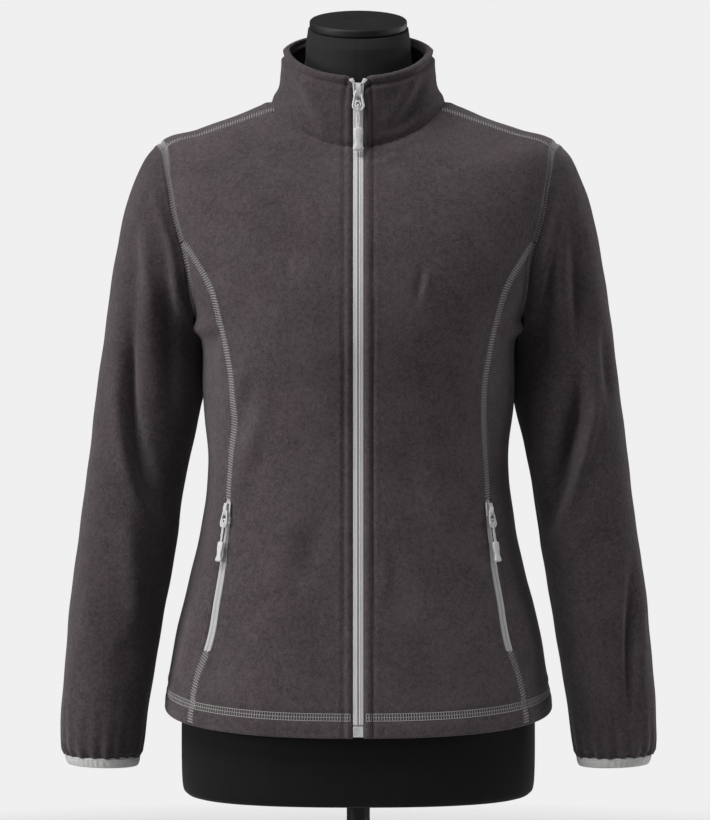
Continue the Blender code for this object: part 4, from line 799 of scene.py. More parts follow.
sewing = {
    "radius": 0.00047, "slantRadius": 0.00018, "lift": 0.00026,
    "shares": (1.0, 0.75, 0.45, 0.0), "lifts": (-0.6, 1.0, 1.5, 2.4), "lean": 0.6,
    "bedSink": 0.00022, "bedStep": 0.0012, "bedWall": 0.0004,
    "armholeReach": 0.0048, "armholePitch": 0.0028,
    "princessReach": 0.0041, "upperPitch": 0.0027, "lowerPitch": 0.0028,
    "shoulderReach": 0.0040, "shoulderPitch": 0.0026,
    "hemLines": (0.0185, 0.0220, 0.0255), "hemPitch": 0.0027, "hemRadius": 0.00042,
    "hemLineRadius": 0.00038, "hemStep": 0.0010, "hemEnd": 0.0012,
    "hemMiddle": 1.6, "hemWave": (0.9, 0.2), "hemAtZip": 0.0040,
    "dash": 0.0030, "dashGap": 0.0011, "dashRadius": 0.00026,
    "dashShares": (0, 0.25, 0.75, 1), "dashLifts": (-0.9, 0.5, 0.5, -0.9),
    # edge, reach in from it, length left free at the start and at the end
    "frontRuns": (("left", 0.0095, 0.004, 0.002),),
    "collarRuns": (("top", 0.0085, 0.010, 0.010), ("left", 0.0098, 0.003, 0.009),
                   ("right", 0.0098, 0.003, 0.009)),
}


# places and directions along an edge, a reach in from it
def rail(name, edge, reach):
    grid, face = grids[name], gridNormals[name]
    if edge in ("bottom", "top"):
        grid, face = grid.transpose(1, 0, 2), face.transpose(1, 0, 2)
    if edge in ("right", "top"):
        grid, face = grid[:, ::-1], face[:, ::-1]
    places = [[np.interp(reach, runLengths(line), line[:, k]) for k in range(3)] for line in grid]
    return np.array(places), unit(face[:, min(6, face.shape[1] - 1)])


def readAlong(keys, values, at):
    order = np.argsort(keys)
    return np.stack([np.interp(at, keys[order], values[order][:, k]) for k in range(3)], axis=-1)


# places and directions at some keys along an edge; a side is its name, edge, keys, rows and rounds
def readSide(side, reach, at):
    name, edge, keys, rows, rounds = side
    return [readAlong(keys, np.concatenate([values[rows]] * rounds), at)
            for values in rail(name, edge, reach)]


def clothTree(name):
    if name not in clothTrees:
        rows, columns = grids[name].shape[:2]
        corners = (np.arange(rows - 1)[:, None] * columns + np.arange(columns - 1)).ravel()
        faces = np.stack([corners, corners + 1, corners + columns + 1, corners + columns], axis=1)
        clothTrees[name] = BVHTree.FromPolygons(grids[name].reshape(-1, 3).tolist(), faces.tolist())
    return clothTrees[name]


# threads laid straight across a seam, from a reach inside one piece to a reach inside the other
def crossThreads(first, second, reach, pitch, span):
    fine = np.linspace(*span, 900)
    (startA, _), (startB, _) = (readSide(side, 0.0, fine) for side in (first, second))
    (farA, upA), (farB, upB) = (readSide(side, reach, fine) for side in (first, second))
    seam, up = (startA + startB) / 2, unit(upA + upB)
    lengths = runLengths(seam)
    aside = unit(np.cross(up, np.gradient(seam, axis=0)))
    aside = aside * np.sign(np.median((aside * (farA - farB)).sum(axis=1)))
    stations = list(zip(sewing["shares"], sewing["lifts"]))
    plan = [(first[0], share, lift) for share, lift in stations]
    plan += [(second[0], -share, lift) for share, lift in stations[-2::-1]]

    # a row of places over the seam for each station of the plan
    def placed(at, sink, lean):
        rows = []
        for number, (name, share, high) in enumerate(plan):
            here = at + lean * (number / (len(plan) - 1) - 0.5)
            starts, ups, sides = (readAlong(lengths, values, here) for values in (seam, up, aside))
            places, faces = starts + sides * reach * share, ups
            if share:
                found = [clothTree(name).find_nearest(Vector(place))[:2] for place in places]
                places, faces = (np.array([spot[k] for spot in found]) for k in (0, 1))
                faces = faces * np.sign((faces * ups).sum(axis=1, keepdims=True))
            rows.append(places + faces * (high * sewing["lift"] - sink))
        return np.stack(rows, axis=1)

    rungs = placed(np.arange(pitch / 2, lengths[-1] - pitch / 4, pitch), 0, sewing["lean"] * pitch)
    middle = (rungs[:-1, len(plan) // 2] + rungs[1:, len(plan) // 2]) / 2
    slants = np.stack([rungs[:-1, 0], middle, rungs[1:, -1]], axis=1)
    along = np.arange(0, lengths[-1], sewing["bedStep"])
    bed = tuple(placed(along, sewing["bedSink"] + wall, 0) for wall in (0, sewing["bedWall"]))
    return ([(sewing["radius"], False, path) for path in rungs],
            [(sewing["slantRadius"], False, path) for path in slants], [bed])


# round threads along some paths, each with its radius and whether it is a closed loop
def threadPiece(name, paths, look, sides=0, sharpAngle=None, place=None):
    curve = bpy.data.curves.new(name + "Lines", "CURVE")
    curve.dimensions, curve.bevel_depth, curve.bevel_resolution = "3D", 1.0, sides
    curve.use_fill_caps = True
    for radius, loop, path in paths:
        line = curve.splines.new("POLY")
        line.points.add(len(path) - 1)
        for point, spot in zip(line.points, path):
            point.co, point.radius = (*spot, 1), radius
        line.use_cyclic_u = loop
    holder = bpy.data.objects.new(name + "Lines", curve)
    bpy.context.scene.collection.objects.link(holder)
    bm = bmesh.new()
    bm.from_mesh(bpy.data.meshes.new_from_object(holder))
    bpy.data.objects.remove(holder)
    return finished(name, bm, look, sharpAngle, place)


# the rungs and slanting threads over some seams, and the flat web of looped thread beneath them
def sewnPieces(name, runs, look, bedLook):
    rungs, slants, beds = (sum(parts, []) for parts in zip(*runs))
    threadPiece(name, rungs + slants, look)
    walledPiece(name.replace("Threads", "Bed"), beds, bedLook, charted=False)


def armholeThreads(word, look, bedLook):
    sleeve = "sleeve" + word
    ring = np.concatenate([seamKeys[sleeve] + turn for turn in (0, fullTurn, -fullTurn)])
    arm = (sleeve, "bottom", ring, slice(None), 3)  # read past its ends, so its keys go round three times
    runs = []
    for name, edge, key in (("front" + word, "right", "front"), ("backPanel", word.lower(), "back"),
                            ("side" + word, "top", "side")):
        rows = seamKeys[key]["rows"] >= joinRow if edge != "top" else slice(None)
        keys = seamKeys[key]["angles"][rows]
        runs.append(crossThreads((name, edge, keys, rows, 1), arm, sewing["armholeReach"],
                                 sewing["armholePitch"], (keys.min(), keys.max())))
    sewnPieces("armholeThreads" + word, runs, look, bedLook)


def princessThreads(word, look, bedLook):
    slotFoot, slotTop = 3 * dense + 0.4, 9 * dense + 1.5
    front, sideFront, sideBack, back = (
        (name, edge, seamKeys[key]["rows"], slice(None), 1) for name, edge, key in (
            ("front" + word, "right", "front"), ("side" + word, "left", "side"),
            ("side" + word, "right", "side"), ("backPanel", word.lower(), "back")))
    sewnPieces("seamThreads" + word, [
        crossThreads(first, second, sewing["princessReach"], sewing[pitch], span)
        for first, second, pitch, span in (
            (front, sideFront, "upperPitch", (slotTop, joinRow)),
            (front, sideFront, "lowerPitch", (0.8, slotFoot)),
            (sideBack, back, "upperPitch", (0.8, joinRow)))], look, bedLook)


def shoulderThreads(word, look, bedLook):
    backKeys = seamKeys["back"]["columns"]
    backKeys = backKeys if word == "Left" else 20 * across - backKeys
    front = ("front" + word, "top", 10 * across - seamKeys["front"]["columns"], slice(None), 1)
    back = ("backPanel", "top", backKeys, slice(None), 1)
    run = crossThreads(front, back, sewing["shoulderReach"], sewing["shoulderPitch"], (0, 4 * across))
    sewnPieces("shoulderThreads" + word, [run], look, bedLook)


# three rows of stitches above the hem with short threads across between them
def hemThreads(name, look):
    rails = [rail(name, "bottom", reach) for reach in sewing["hemLines"]]
    lengths, lift = runLengths(rails[1][0]), sewing["lift"]
    first = sewing["hemAtZip" if name.startswith("front") else "hemEnd"]
    last = lengths[-1] - sewing["hemEnd"]
    at, fine = (np.arange(first, last, sewing[step]) for step in ("hemPitch", "hemStep"))
    lower, middle, upper = (readAlong(lengths, places, at) for places, _ in rails)
    up = readAlong(lengths, rails[1][1], at) * lift
    paths = []
    for start, end in ((lower, middle), (middle, upper)):
        high = (start + end) / 2 + up * sewing["hemMiddle"]
        paths += [(sewing["hemRadius"], False, path)
                  for path in np.stack([start - up, high, end - up], axis=1)]
    wave = np.where(np.arange(len(fine)) % 2, *sewing["hemWave"])[:, None] * lift
    for places, ups in rails:
        path = readAlong(lengths, places, fine) + readAlong(lengths, ups, fine) * wave
        paths.append((sewing["hemLineRadius"], False, path))
    threadPiece("hemThreads" + name[:1].upper() + name[1:], paths, look)


# plain stitches in the cloth's own colour, sunk in the line that they pull in
def topstitch(name, piece, runs, look):
    paths, lift = [], np.array(sewing["dashLifts"])[:, None] * sewing["lift"]
    for edge, reach, first, last in runs:
        places, ups = rail(piece, edge, reach)
        lengths = runLengths(places)
        for start in np.arange(first, lengths[-1] - last, sewing["dash"] + sewing["dashGap"]):
            at = start + sewing["dash"] * np.array(sewing["dashShares"])
            path = readAlong(lengths, places, at) + readAlong(lengths, ups, at) * lift
            paths.append((sewing["dashRadius"], False, path))
    threadPiece(name, paths, look)


zipCut = {
    "inner": 0.0004, "outer": 0.0053, "sink": 0.0006, "wall": 0.0012, "edgeWall": 0.0006,
    "startLevel": 0.30, "endLevel": 3.78, "rows": 420, "middle": 0.0030,
    "bead": 0.00028, "endFold": 0.0042, "endLength": 0.0075, "endRise": 0.0007,
    # share of the way across and height in beads
    "frontProfile": ((0.0, -0.9), (0.04, 0.2), (0.10, 0.8), (0.18, 1.0), (0.28, 0.8), (0.38, 0.25),
                     (0.48, 0.0), (0.72, 0.0), (0.93, -0.1), (1.0, -1.0)),
    "pocketProfile": ((-1, -1), (-0.94, -0.2), (-0.6, 0), (-0.4, 0.4), (-0.22, 1.0), (-0.10, 0.5),
                      (-0.05, -1.8), (0.05, -1.8), (0.10, 0.5), (0.22, 1.0), (0.4, 0.4), (0.6, 0),
                      (0.94, -0.2), (1, -1)),
    "pocketHalf": 0.0044, "pocketRows": 110,
    "coilX": 0.0002, "coilPitch": 0.00075, "coilHalf": 0.0009, "coilSink": 0.0012,
    "coilRadius": 0.00028, "coilStart": 0.004, "coilEnd": 0.008,
}


def evenly(places, ups, count):
    lengths = runLengths(places)
    at = np.linspace(0, lengths[-1], count)
    return readAlong(lengths, places, at), unit(readAlong(lengths, ups, at)), at


# even places, directions and lengths up the front and the collar at a distance from the middle
def frontEdgeLine(x, side=1):
    places, ups = [], []
    bodyLevels = np.linspace(zipCut["startLevel"], neckLevel, 500)
    collarLevels = np.linspace(0, zipCut["endLevel"], 120)[1:]
    for table, surface, plain, levels in ((rings, bodySurface, plainBody, bodyLevels), (
            collarCut["rings"], collarSurface, plainCollar, collarLevels)):
        turns = turnAtX(table, levels, x) * side
        places.append(surface(levels, turns))
        ups.append(outward(plain, levels, turns))
    return evenly(np.concatenate(places), np.concatenate(ups), zipCut["rows"])


def buildFrontTape(name, side, look):
    columns = []
    for share, beads in zipCut["frontProfile"]:
        x = zipCut["inner"] + (zipCut["outer"] - zipCut["inner"]) * share
        places, ups, at = frontEdgeLine(x, side)
        near = smooth(at, at[-1] - zipCut["endLength"], at[-1])[:, None]
        places = places + np.array([side, 0, 0]) * zipCut["endFold"] * near
        lift = beads * zipCut["bead"] - zipCut["sink"] + zipCut["endRise"] * near
        columns.append(places + ups * lift)
    outer, ups = np.stack(columns, axis=1), frontEdgeLine(zipCut["middle"], side)[1]
    wall = np.full(outer.shape[:2], zipCut["wall"])
    wall[:, 0] = wall[:, -1] = zipCut["edgeWall"]
    walledPiece(name, [(outer, outer - ups[:, None] * wall[..., None])], look)


def roundedBlock(cut, segments):
    bm = bmesh.new()
    bmesh.ops.create_cube(bm, size=1)
    bmesh.ops.scale(bm, vec=(cut["width"], cut["depth"], cut["height"]), verts=bm.verts)
    for vert in bm.verts:
        if vert.co.z < 0:
            vert.co.x *= cut.get("foot", cut["width"]) / cut["width"]
    bmesh.ops.bevel(bm, geom=bm.edges[:], offset=cut["round"], segments=segments, profile=0.5,
                    material=-1, affect="EDGES")
    return bm


endCut = {"width": 0.0046, "depth": 0.0024, "height": 0.0050, "round": 0.0011, "lean": math.radians(24),
          "aside": 0.0064, "short": 0.0016, "proud": 0.0004}


# the folded end of a tape above the slider
def buildTapeEnd(name, side, look):
    places, ups, _ = frontEdgeLine(zipCut["outer"], side)
    x, y, z = places[-1] + ups[-1] * endCut["proud"]
    place = Matrix.Translation((side * endCut["aside"], y, z - endCut["short"]))
    place = place @ Matrix.Rotation(side * endCut["lean"], 4, "Y")
    finished(name, roundedBlock(endCut, 4), look, 60, place)


# the coil that locks the two tapes, seen as a thin dark line between them; its dark colour is painted
# shade, the shadow in the groove between the tapes
def buildCoil(look):
    places, ups, at = frontEdgeLine(zipCut["coilX"])
    wanted = np.arange(zipCut["coilStart"], at[-1] - zipCut["coilEnd"], zipCut["coilPitch"] / 2)
    swing = np.where(np.arange(len(wanted)) % 2, 1, -1)[:, None] * [zipCut["coilHalf"], 0, 0]
    sunk = readAlong(at, ups, wanted) * zipCut["coilSink"]
    path = readAlong(at, places, wanted) * [0, 1, 1] + swing - sunk
    threadPiece("zipCoil", [(zipCut["coilRadius"], False, path)], look)


def buildPocketTape(name, side, look):
    levels = np.linspace(*bodyCut["slotLevels"], 240)
    turns = seamTurn(bodyCut["frontSeam"], levels, 1) * side
    ups = outward(plainBody, levels, turns)
    places, ups, _ = evenly(bodySurface(levels, turns), ups, zipCut["pocketRows"])
    aside = unit(np.cross(unit(np.gradient(places, axis=0)), ups))
    outer = np.stack([places + aside * zipCut["pocketHalf"] * share
                      + ups * (beads * zipCut["bead"] - zipCut["sink"])
                      for share, beads in zipCut["pocketProfile"]], axis=1)
    walledPiece(name, [(outer, outer - ups[:, None] * zipCut["wall"])], look)


def localFrame(place, right, up, scale=1.0):
    up, right = Vector(up).normalized(), Vector(right)
    right = (right - up * right.dot(up)).normalized()
    matrix = Matrix((right, up.cross(right), up)).transposed().to_4x4()
    return Matrix.Translation(place) @ matrix @ Matrix.Scale(scale, 4)


sliderCut = {
    "width": 0.0116, "foot": 0.0092, "depth": 0.0020, "height": 0.0150, "round": 0.0007,
    "rim": 0.0012, "recess": 0.0010, "recessEdge": 0.0004, "crownSink": 0.0004,
    "crownWidth": 0.0047, "crownHeight": 0.0140, "crownOut": 0.0036, "crownBar": 0.0012,
    "crownSteps": 14,
}
pullCut = {
    "top": 0.0043, "foot": 0.0065, "straight": 0.0118, "wire": 0.00120, "axisOffset": 0.0006,
    "eye": (0.00272, 0.0034), "eyeRise": 0.0008, "eyeWire": 0.00108,
    "strandGap": 0.00080, "strand": 0.00095, "strandTop": 0.0181, "strandFoot": 0.0395, "sway": 0.25,
    "twist": 0.0002, "twists": 900, "loop": (0.000768, 0.0011, 0.0030), "knot": (0.0016, 0.0010),
    "knotDrop": 0.0014, "knotStrand": 0.0008075, "gripSquare": 0.10,
    "halfPoints": 16, "eyePoints": 20, "strandPoints": 14, "loopPoints": 12, "gripSteps": 28,
    # distance below the axis, half width, half thickness of the grip
    "grip": metres((
        (37.6, 2, 1.2), (38, 3.4, 1.8), (38.8, 4.3, 2.1), (40.2, 4.7, 2.2), (44, 4.7, 2.2),
        (47.5, 4.4, 2.1), (50.5, 3.7, 2), (52.8, 3.4, 2), (54.8, 3.7, 2.1), (56.8, 4.7, 2.2),
        (58.5, 5.3, 2.3), (59.8, 5.3, 2.1), (60.7, 4.5, 1.6), (61, 2.4, 0.8),
    )),
}
# place, direction to the right, direction up, and size
zipFrames = {
    "frontSlider": ((0, -0.07822, 0.94166), (1, 0, 0), (0, -0.0066, 1), 1.0),
    "frontPull": ((0, -0.08172, 0.94164), (1, 0, 0), (0, 0, 1), 1.0),
    "leftSlider": (
        (0.13103, -0.07661, 0.51965), (0.66962, 0.73995, -0.06385), (-0.0442, 0.1255, 0.9911), 0.92),
    "leftPull": (
        (0.13342, -0.07874, 0.52003), (0.6659, 0.74602, -0.00593), (-0.1326, 0.1262, 0.9831), 0.87),
    "rightSlider": (
        (-0.13110, -0.07664, 0.51966), (0.66962, -0.73995, 0.06385), (0.0442, 0.1255, 0.9911), 0.92),
    "rightPull": (
        (-0.13349, -0.07877, 0.52004), (0.65921, -0.75191, 0.00799), (0.1315, 0.1257, 0.9833), 0.87),
}


# a plate with a sunk face and an arched crown over it
def buildSlider(name, look):
    cut, bm = sliderCut, roundedBlock(sliderCut, 3)
    face, bar = -cut["depth"], cut["crownBar"]
    reach = cut["crownHeight"] / 2 - bar / 2
    bmesh.ops.translate(bm, vec=(0, face / 2, 0), verts=bm.verts)
    front = [f for f in bm.faces if f.calc_center_median().y < face + hair]
    bmesh.ops.inset_region(bm, faces=front, thickness=cut["rim"] - cut["round"], depth=0)
    bmesh.ops.inset_region(bm, faces=front, thickness=cut["recessEdge"], depth=-cut["recess"])
    crown = bmesh.ops.create_grid(bm, x_segments=1, y_segments=1, size=0.5)["verts"]
    for vert in crown:
        vert.co = (vert.co.x * cut["crownWidth"], face + cut["crownSink"], reach - vert.co.y * bar)
    base = [f for f in bm.faces if all(v in crown for v in f.verts)]
    bmesh.ops.spin(bm, geom=base, axis=(1, 0, 0), cent=(0, face + cut["crownSink"], 0), angle=math.pi,
                   steps=cut["crownSteps"], use_duplicate=False)
    for vert in bm.verts:
        if vert.co.y < face - hair:
            vert.co.y = face + (vert.co.y - face) * cut["crownOut"] / (reach + bar / 2)
    bmesh.ops.recalc_face_normals(bm, faces=bm.faces)
    finished(name, bm, look, 45, localFrame(*zipFrames[name]))


def spunOutline(outline, steps):
    bm = bmesh.new()
    line = [bm.verts.new((radius, 0, height)) for radius, height in outline]
    edges = [bm.edges.new(pair) for pair in zip(line, line[1:])]
    bmesh.ops.spin(bm, geom=line + edges, axis=(0, 0, 1), cent=(0, 0, 0), angle=fullTurn, steps=steps,
                   use_merge=True, use_duplicate=False)
    bmesh.ops.remove_doubles(bm, verts=bm.verts, dist=mergeDistance)
    return bm


# ring, two strands of cord and the waisted grip; the ring is metal, the rest a softer finish
def buildPull(name, metal, cord):
    cut, place = pullCut, localFrame(*zipFrames[name])
    wire, strand, low = cut["wire"], cut["strand"], -cut["strandTop"]
    high = cut["axisOffset"] - cut["top"]
    half = np.linspace(0, math.pi, cut["halfPoints"])
    around = np.linspace(0, fullTurn, cut["eyePoints"], endpoint=False)
    top, foot = cut["top"] - wire, cut["foot"] - wire
    upper = np.stack([top * np.cos(half), half * 0, top * np.sin(half) + high], axis=-1)
    end = high - cut["straight"]
    lower = np.stack([-foot * np.cos(half), half * 0, end - foot * np.sin(half)], axis=-1)
    eye = np.stack([cut["eye"][0] * np.cos(around), around * 0,
                    cut["eye"][1] * np.sin(around) + end + cut["eyeRise"]], axis=-1)
    paths = [(wire, True, np.concatenate([upper, lower])), (cut["eyeWire"], True, eye)]
    threadPiece(name, paths, metal, 2, 60, place)

    heights = np.linspace(low, -cut["strandFoot"], cut["strandPoints"])
    sway = cut["strandGap"] * (1 - cut["sway"] * np.cos(np.linspace(0, fullTurn, len(heights))))
    twist = cut["twist"] * np.sin(heights * cut["twists"])
    paths = [(strand, False, np.stack([side * sway, twist, heights], axis=-1)) for side in (1, -1)]
    over, (wide, deep, rise) = np.linspace(0, math.pi, cut["loopPoints"]), cut["loop"]
    loop = np.stack([wide * np.cos(over), -deep * np.sin(over), low + rise * np.sin(over)], axis=-1)
    wide, deep = cut["knot"]
    heights = around * 0 + low - cut["knotDrop"]
    knot = np.stack([wide * np.cos(around), deep * np.sin(around), heights], axis=-1)
    paths += [(strand, False, loop), (cut["knotStrand"], True, knot)]
    threadPiece(name + "Cord", paths, cord, 1, 80, place)

    downs, widths, thicks = np.transpose(cut["grip"])
    bm = spunOutline(zip(widths, -downs), cut["gripSteps"])
    bmesh.ops.holes_fill(bm, edges=[e for e in bm.edges if e.is_boundary], sides=0)
    for vert in bm.verts:
        squared = 1 + cut["gripSquare"] * abs(math.sin(2 * math.atan2(vert.co.y, vert.co.x)))
        vert.co.x *= squared
        vert.co.y *= squared * np.interp(-vert.co.z, downs, thicks / widths)
    bmesh.ops.recalc_face_normals(bm, faces=bm.faces)
    finished(name + "Grip", bm, cord, 60, place)


boxCut = {"width": 0.0106, "depth": 0.0028, "height": 0.0108, "round": 0.0008,
          "rim": 0.0010, "recess": 0.0003}


def buildBottomBox(look):
    bm = roundedBlock(boxCut, 3)
    face = max(bm.faces, key=lambda f: -f.calc_center_median().y * 1000 + f.calc_area())
    bmesh.ops.inset_region(bm, faces=[face], thickness=boxCut["rim"], depth=-boxCut["recess"])
    middle = [(a + b) / 2 for a, b in zip(*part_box("zip_box"))]
    finished("zipBottomBox", bm, look, 50, Matrix.Translation(middle))


formCut = {
    "columns": 128, "finer": 5,
    # level, then side, front and back ease in millimetres
    "ease": (
        (0.6, 14, 13, 10), (2, 11, 8, 8), (3.5, 9, 7, 8), (5, 9, 8, 9), (6.5, 6, 6, 6),
        (7.5, 5, 5, 4.5), (9, 13, 4.5, 4), (10.5, 17, 5, 3.5), (11.5, 12, 5.6, 3),
        (12.2, 4, 5.4, 2.5), (12.9, 1.8, 4.2, 2), (14, 1.8, 4.4, 2), (14.9, 3.5, 4.5, 3.5),
    ),
    "levels": (0.6, 1.5, 2.4, 3.3, 4.2, 5.0, 5.8, 6.5, 7.1, 7.7, 8.3, 8.9, 9.5, 10.1, 10.7, 11.2, 11.6,
               11.95, 12.25, 12.6, 13.0, 13.5, 14.0, 14.5, 14.9),
    "hip": metres((
        (223.5, 223.5, 223.5, 0, 170, 104, 97, 2.4, 1),
        (226.5, 226.5, 226.5, 0, 177, 110, 103, 2.4, 1), (237, 237, 237, 0, 181.5, 113, 106, 2.4, 1),
        (285, 285, 285, 0, 182.5, 113, 106, 2.4, 1),
    ), 2),
    "neckFoot": metres((
        (948, 906, 948, 1, 70, 60, 50, 2, 1.3), (962, 936, 966, 0, 60, 56, 52, 2, 1.1),
    ), 2),
    # height of the middle, middle y, radius, forward tilt in degrees
    "neck": metres(((983.0, 0.0, 55.0, 4.0), (998.5, -1.0, 54.2, 12.0), (1014.5, -0.5, 52.0, 20.0)), 1),
    "seams": (0, 0.62, 1.571, 2.45, math.pi, -2.45, -1.571, -0.62),
    "seamDepth": 0.0005, "seamWidth": 0.022,
}
capCut = {
    "middle": (0.0, -0.0020, 1.0192), "tilt": math.radians(20), "steps": 96,
    # radius and height about the middle
    "outline": metres((
        (0, -4.2), (44, -4.2), (49.2, -4), (50.3, -3.1), (50.5, -1.8), (50.5, 1.8), (50.2, 3.1),
        (49.2, 4), (47, 4.3), (20, 4.3), (9.5, 4.3), (8.8, 3.8), (8.2, 3.8), (7.6, 4.3), (0, 4.3),
    )),
}
standCut = {
    "poleSteps": 64, "baseSteps": 128,
    "pole": metres((
        (0, 8.3), (25, 8.3), (25.6, 9), (25.6, 11.2), (25, 11.9), (17.2, 12.8), (16, 14), (16, 23),
        (15.4, 23.8), (12.2, 24), (12, 24.4), (12, 156), (12.2, 156.4), (15.4, 156.6), (16, 157.3),
        (16, 172), (15.4, 172.7), (12.2, 172.9), (12, 173.3), (12, 223.2), (0, 223.2),
    )),
    "base": metres((
        (0, 0), (148, 0), (149.4, 0.6), (150, 1.6), (150, 5.2), (149.4, 6.6), (148, 7.5), (145, 7.9),
        (130, 8), (0, 8),
    )),
}


def formRings(turns):
    hip, neckFoot = (onRings(formCut[key], np.arange(len(formCut[key]))[:, None], turns)
                     for key in ("hip", "neckFoot"))
    ease, levels = np.array(formCut["ease"]), np.array(formCut["levels"])[:, None]
    sides, fronts, backs = np.moveaxis(through(ease[:, 0], ease[:, 1:] / 1000, levels), -1, 0)
    share, ends = np.cos(turns) ** 2, np.where(np.cos(turns) > 0, fronts, backs)
    ease = bodyCut["wall"] + sides * (1 - share) + ends * share
    torso = plainBody(levels, turns) - ease[..., None] * outward(plainBody, levels, turns)
    height, middleY, radius, tilt = formCut["neck"].T[..., None]
    y = -radius * np.cos(turns) * np.cos(np.radians(tilt))
    neck = np.stack([radius * np.sin(turns), middleY + y, height + y * np.tan(np.radians(tilt))], axis=-1)
    found = np.concatenate([hip, torso, neckFoot, neck])
    at = np.linspace(0, len(found) - 1, formCut["finer"] * (len(found) - 1) + 1)
    return rowAt(found.reshape(len(found), -1), at).reshape(len(at), len(turns), 3)


def buildForm(look):
    turns = np.linspace(0, fullTurn, formCut["columns"], endpoint=False)
    found = formRings(turns)
    groove = sum(np.exp(-(wrapped(turns - seam) / formCut["seamWidth"]) ** 2)
                 for seam in formCut["seams"])
    out = unit(found - found.mean(axis=1, keepdims=True))
    found = found - out * (formCut["seamDepth"] * groove)[None, :, None]
    bm = bmesh.new()
    laidGrid(bm, np.concatenate([found, found[:, :1]], axis=1))
    bmesh.ops.remove_doubles(bm, verts=bm.verts, dist=mergeDistance)
    bmesh.ops.holes_fill(bm, edges=[e for e in bm.edges if e.is_boundary], sides=0)
    bmesh.ops.recalc_face_normals(bm, faces=bm.faces)
    finished("formBody", bm, look, 60)


def buildTurned(name, outline, steps, look, tilt=0, place=(0, 0, 0)):
    bm = spunOutline(outline, steps)
    bmesh.ops.recalc_face_normals(bm, faces=bm.faces)
    finished(name, bm, look, 40, Matrix.Translation(place) @ Matrix.Rotation(tilt, 4, "X"))


class Reading:  # a node's output that can be used in sums
    def __init__(self, finish, socket):
        self.finish, self.socket = finish, socket

    def combined(self, operation, *values):
        return self.finish.node("Math", {"operation": operation}, dict(enumerate(values)))

    def __add__(self, other):
        return self.combined("ADD", self, other)

    def __radd__(self, other):
        return self.combined("ADD", other, self)

    def __sub__(self, other):
        return self.combined("SUBTRACT", self, other)

    def __rsub__(self, other):
        return self.combined("SUBTRACT", other, self)

    def __mul__(self, other):
        return self.combined("MULTIPLY", self, other)

    def __rmul__(self, other):
        return self.combined("MULTIPLY", other, self)

    def __pow__(self, other):
        return self.combined("POWER", self, other)

    def __rpow__(self, other):
        return self.combined("POWER", other, self)

    def held(self):
        return self.finish.node("Clamp", {}, {0: self})

    def waves(self, spacing):
        return self.combined("SINE", self * (fullTurn / spacing)) * 0.5 + 0.5


class Finish:
    def __init__(self, name, rgb, roughness, **constants):
        self.material = bpy.data.materials.new(name)
        self.material.use_nodes = True
        self.material.diffuse_color = (*rgb, 1)
        self.tree = self.material.node_tree
        self.shader = self.tree.nodes["Principled BSDF"]
        self.give("Base Color", (*rgb, 1))
        self.give("Roughness", roughness)
        for label, value in constants.items():
            self.give(label.replace("_", " "), value)

    def node(self, kind, settings=None, sockets=None, output=0):
        added = self.tree.nodes.new("ShaderNode" + kind)
        for label, value in (settings or {}).items():
            setattr(added, label, value)
        for label, value in (sockets or {}).items():
            self.give(label, value, added)
        return Reading(self, added.outputs[output])

    def give(self, label, value, node=None):
        socket = (node or self.shader).inputs[label]
        if isinstance(value, Reading):
            self.tree.links.new(value.socket, socket)
        else:
            socket.default_value = value

    def place(self):
        return self.node("TexCoord", output="Object")

    def parts(self, spot):
        first = self.node("SeparateXYZ", {}, {0: spot})
        return [Reading(self, socket) for socket in first.socket.node.outputs]

    def chart(self):
        return self.parts(self.node("UVMap", {"uv_map": "cloth"}))[:2]

    def noise(self, scale, detail=2.0, roughness=0.5, where=None):
        return self.node("TexNoise", {}, {"Vector": where or self.place(), "Scale": scale,
                                          "Detail": detail, "Roughness": roughness})

    def mix(self, share, first, second):
        colours = [value if isinstance(value, Reading) else (*value, 1) for value in (first, second)]
        return self.node("Mix", {"data_type": "RGBA"}, {0: share, 6: colours[0], 7: colours[1]}, output=2)

    def bump(self, height, distance, strength=1.0):
        sockets = {"Height": height, "Distance": distance, "Strength": strength}
        self.give("Normal", self.node("Bump", {}, sockets))


def shades(share, *tones):
    return [tuple(part * share for part in tone) for tone in tones]


fleeceFinish = {
    "dark": (0.042, 0.0345, 0.0362), "light": (0.115, 0.0975, 0.1020), "blush": (0.118, 0.0800, 0.0915),
    # scale, detail and roughness of the noise, and its share in the tone
    "broad": (21, 3, 0.55, 0.62), "cloud": (68, 2, 0.5, 0.34), "middle": (210, 3, 0.6, 1.05),
    "fine": (620, 3, 0.65, 1.85), "bump": 0.0014,
    # where the blush shows: its noise, how sharply and how seldom, and how strong it is
    "cast": (17, 4, 0.6), "castGain": 3, "castDrop": 1.2, "castShare": 0.55,
}
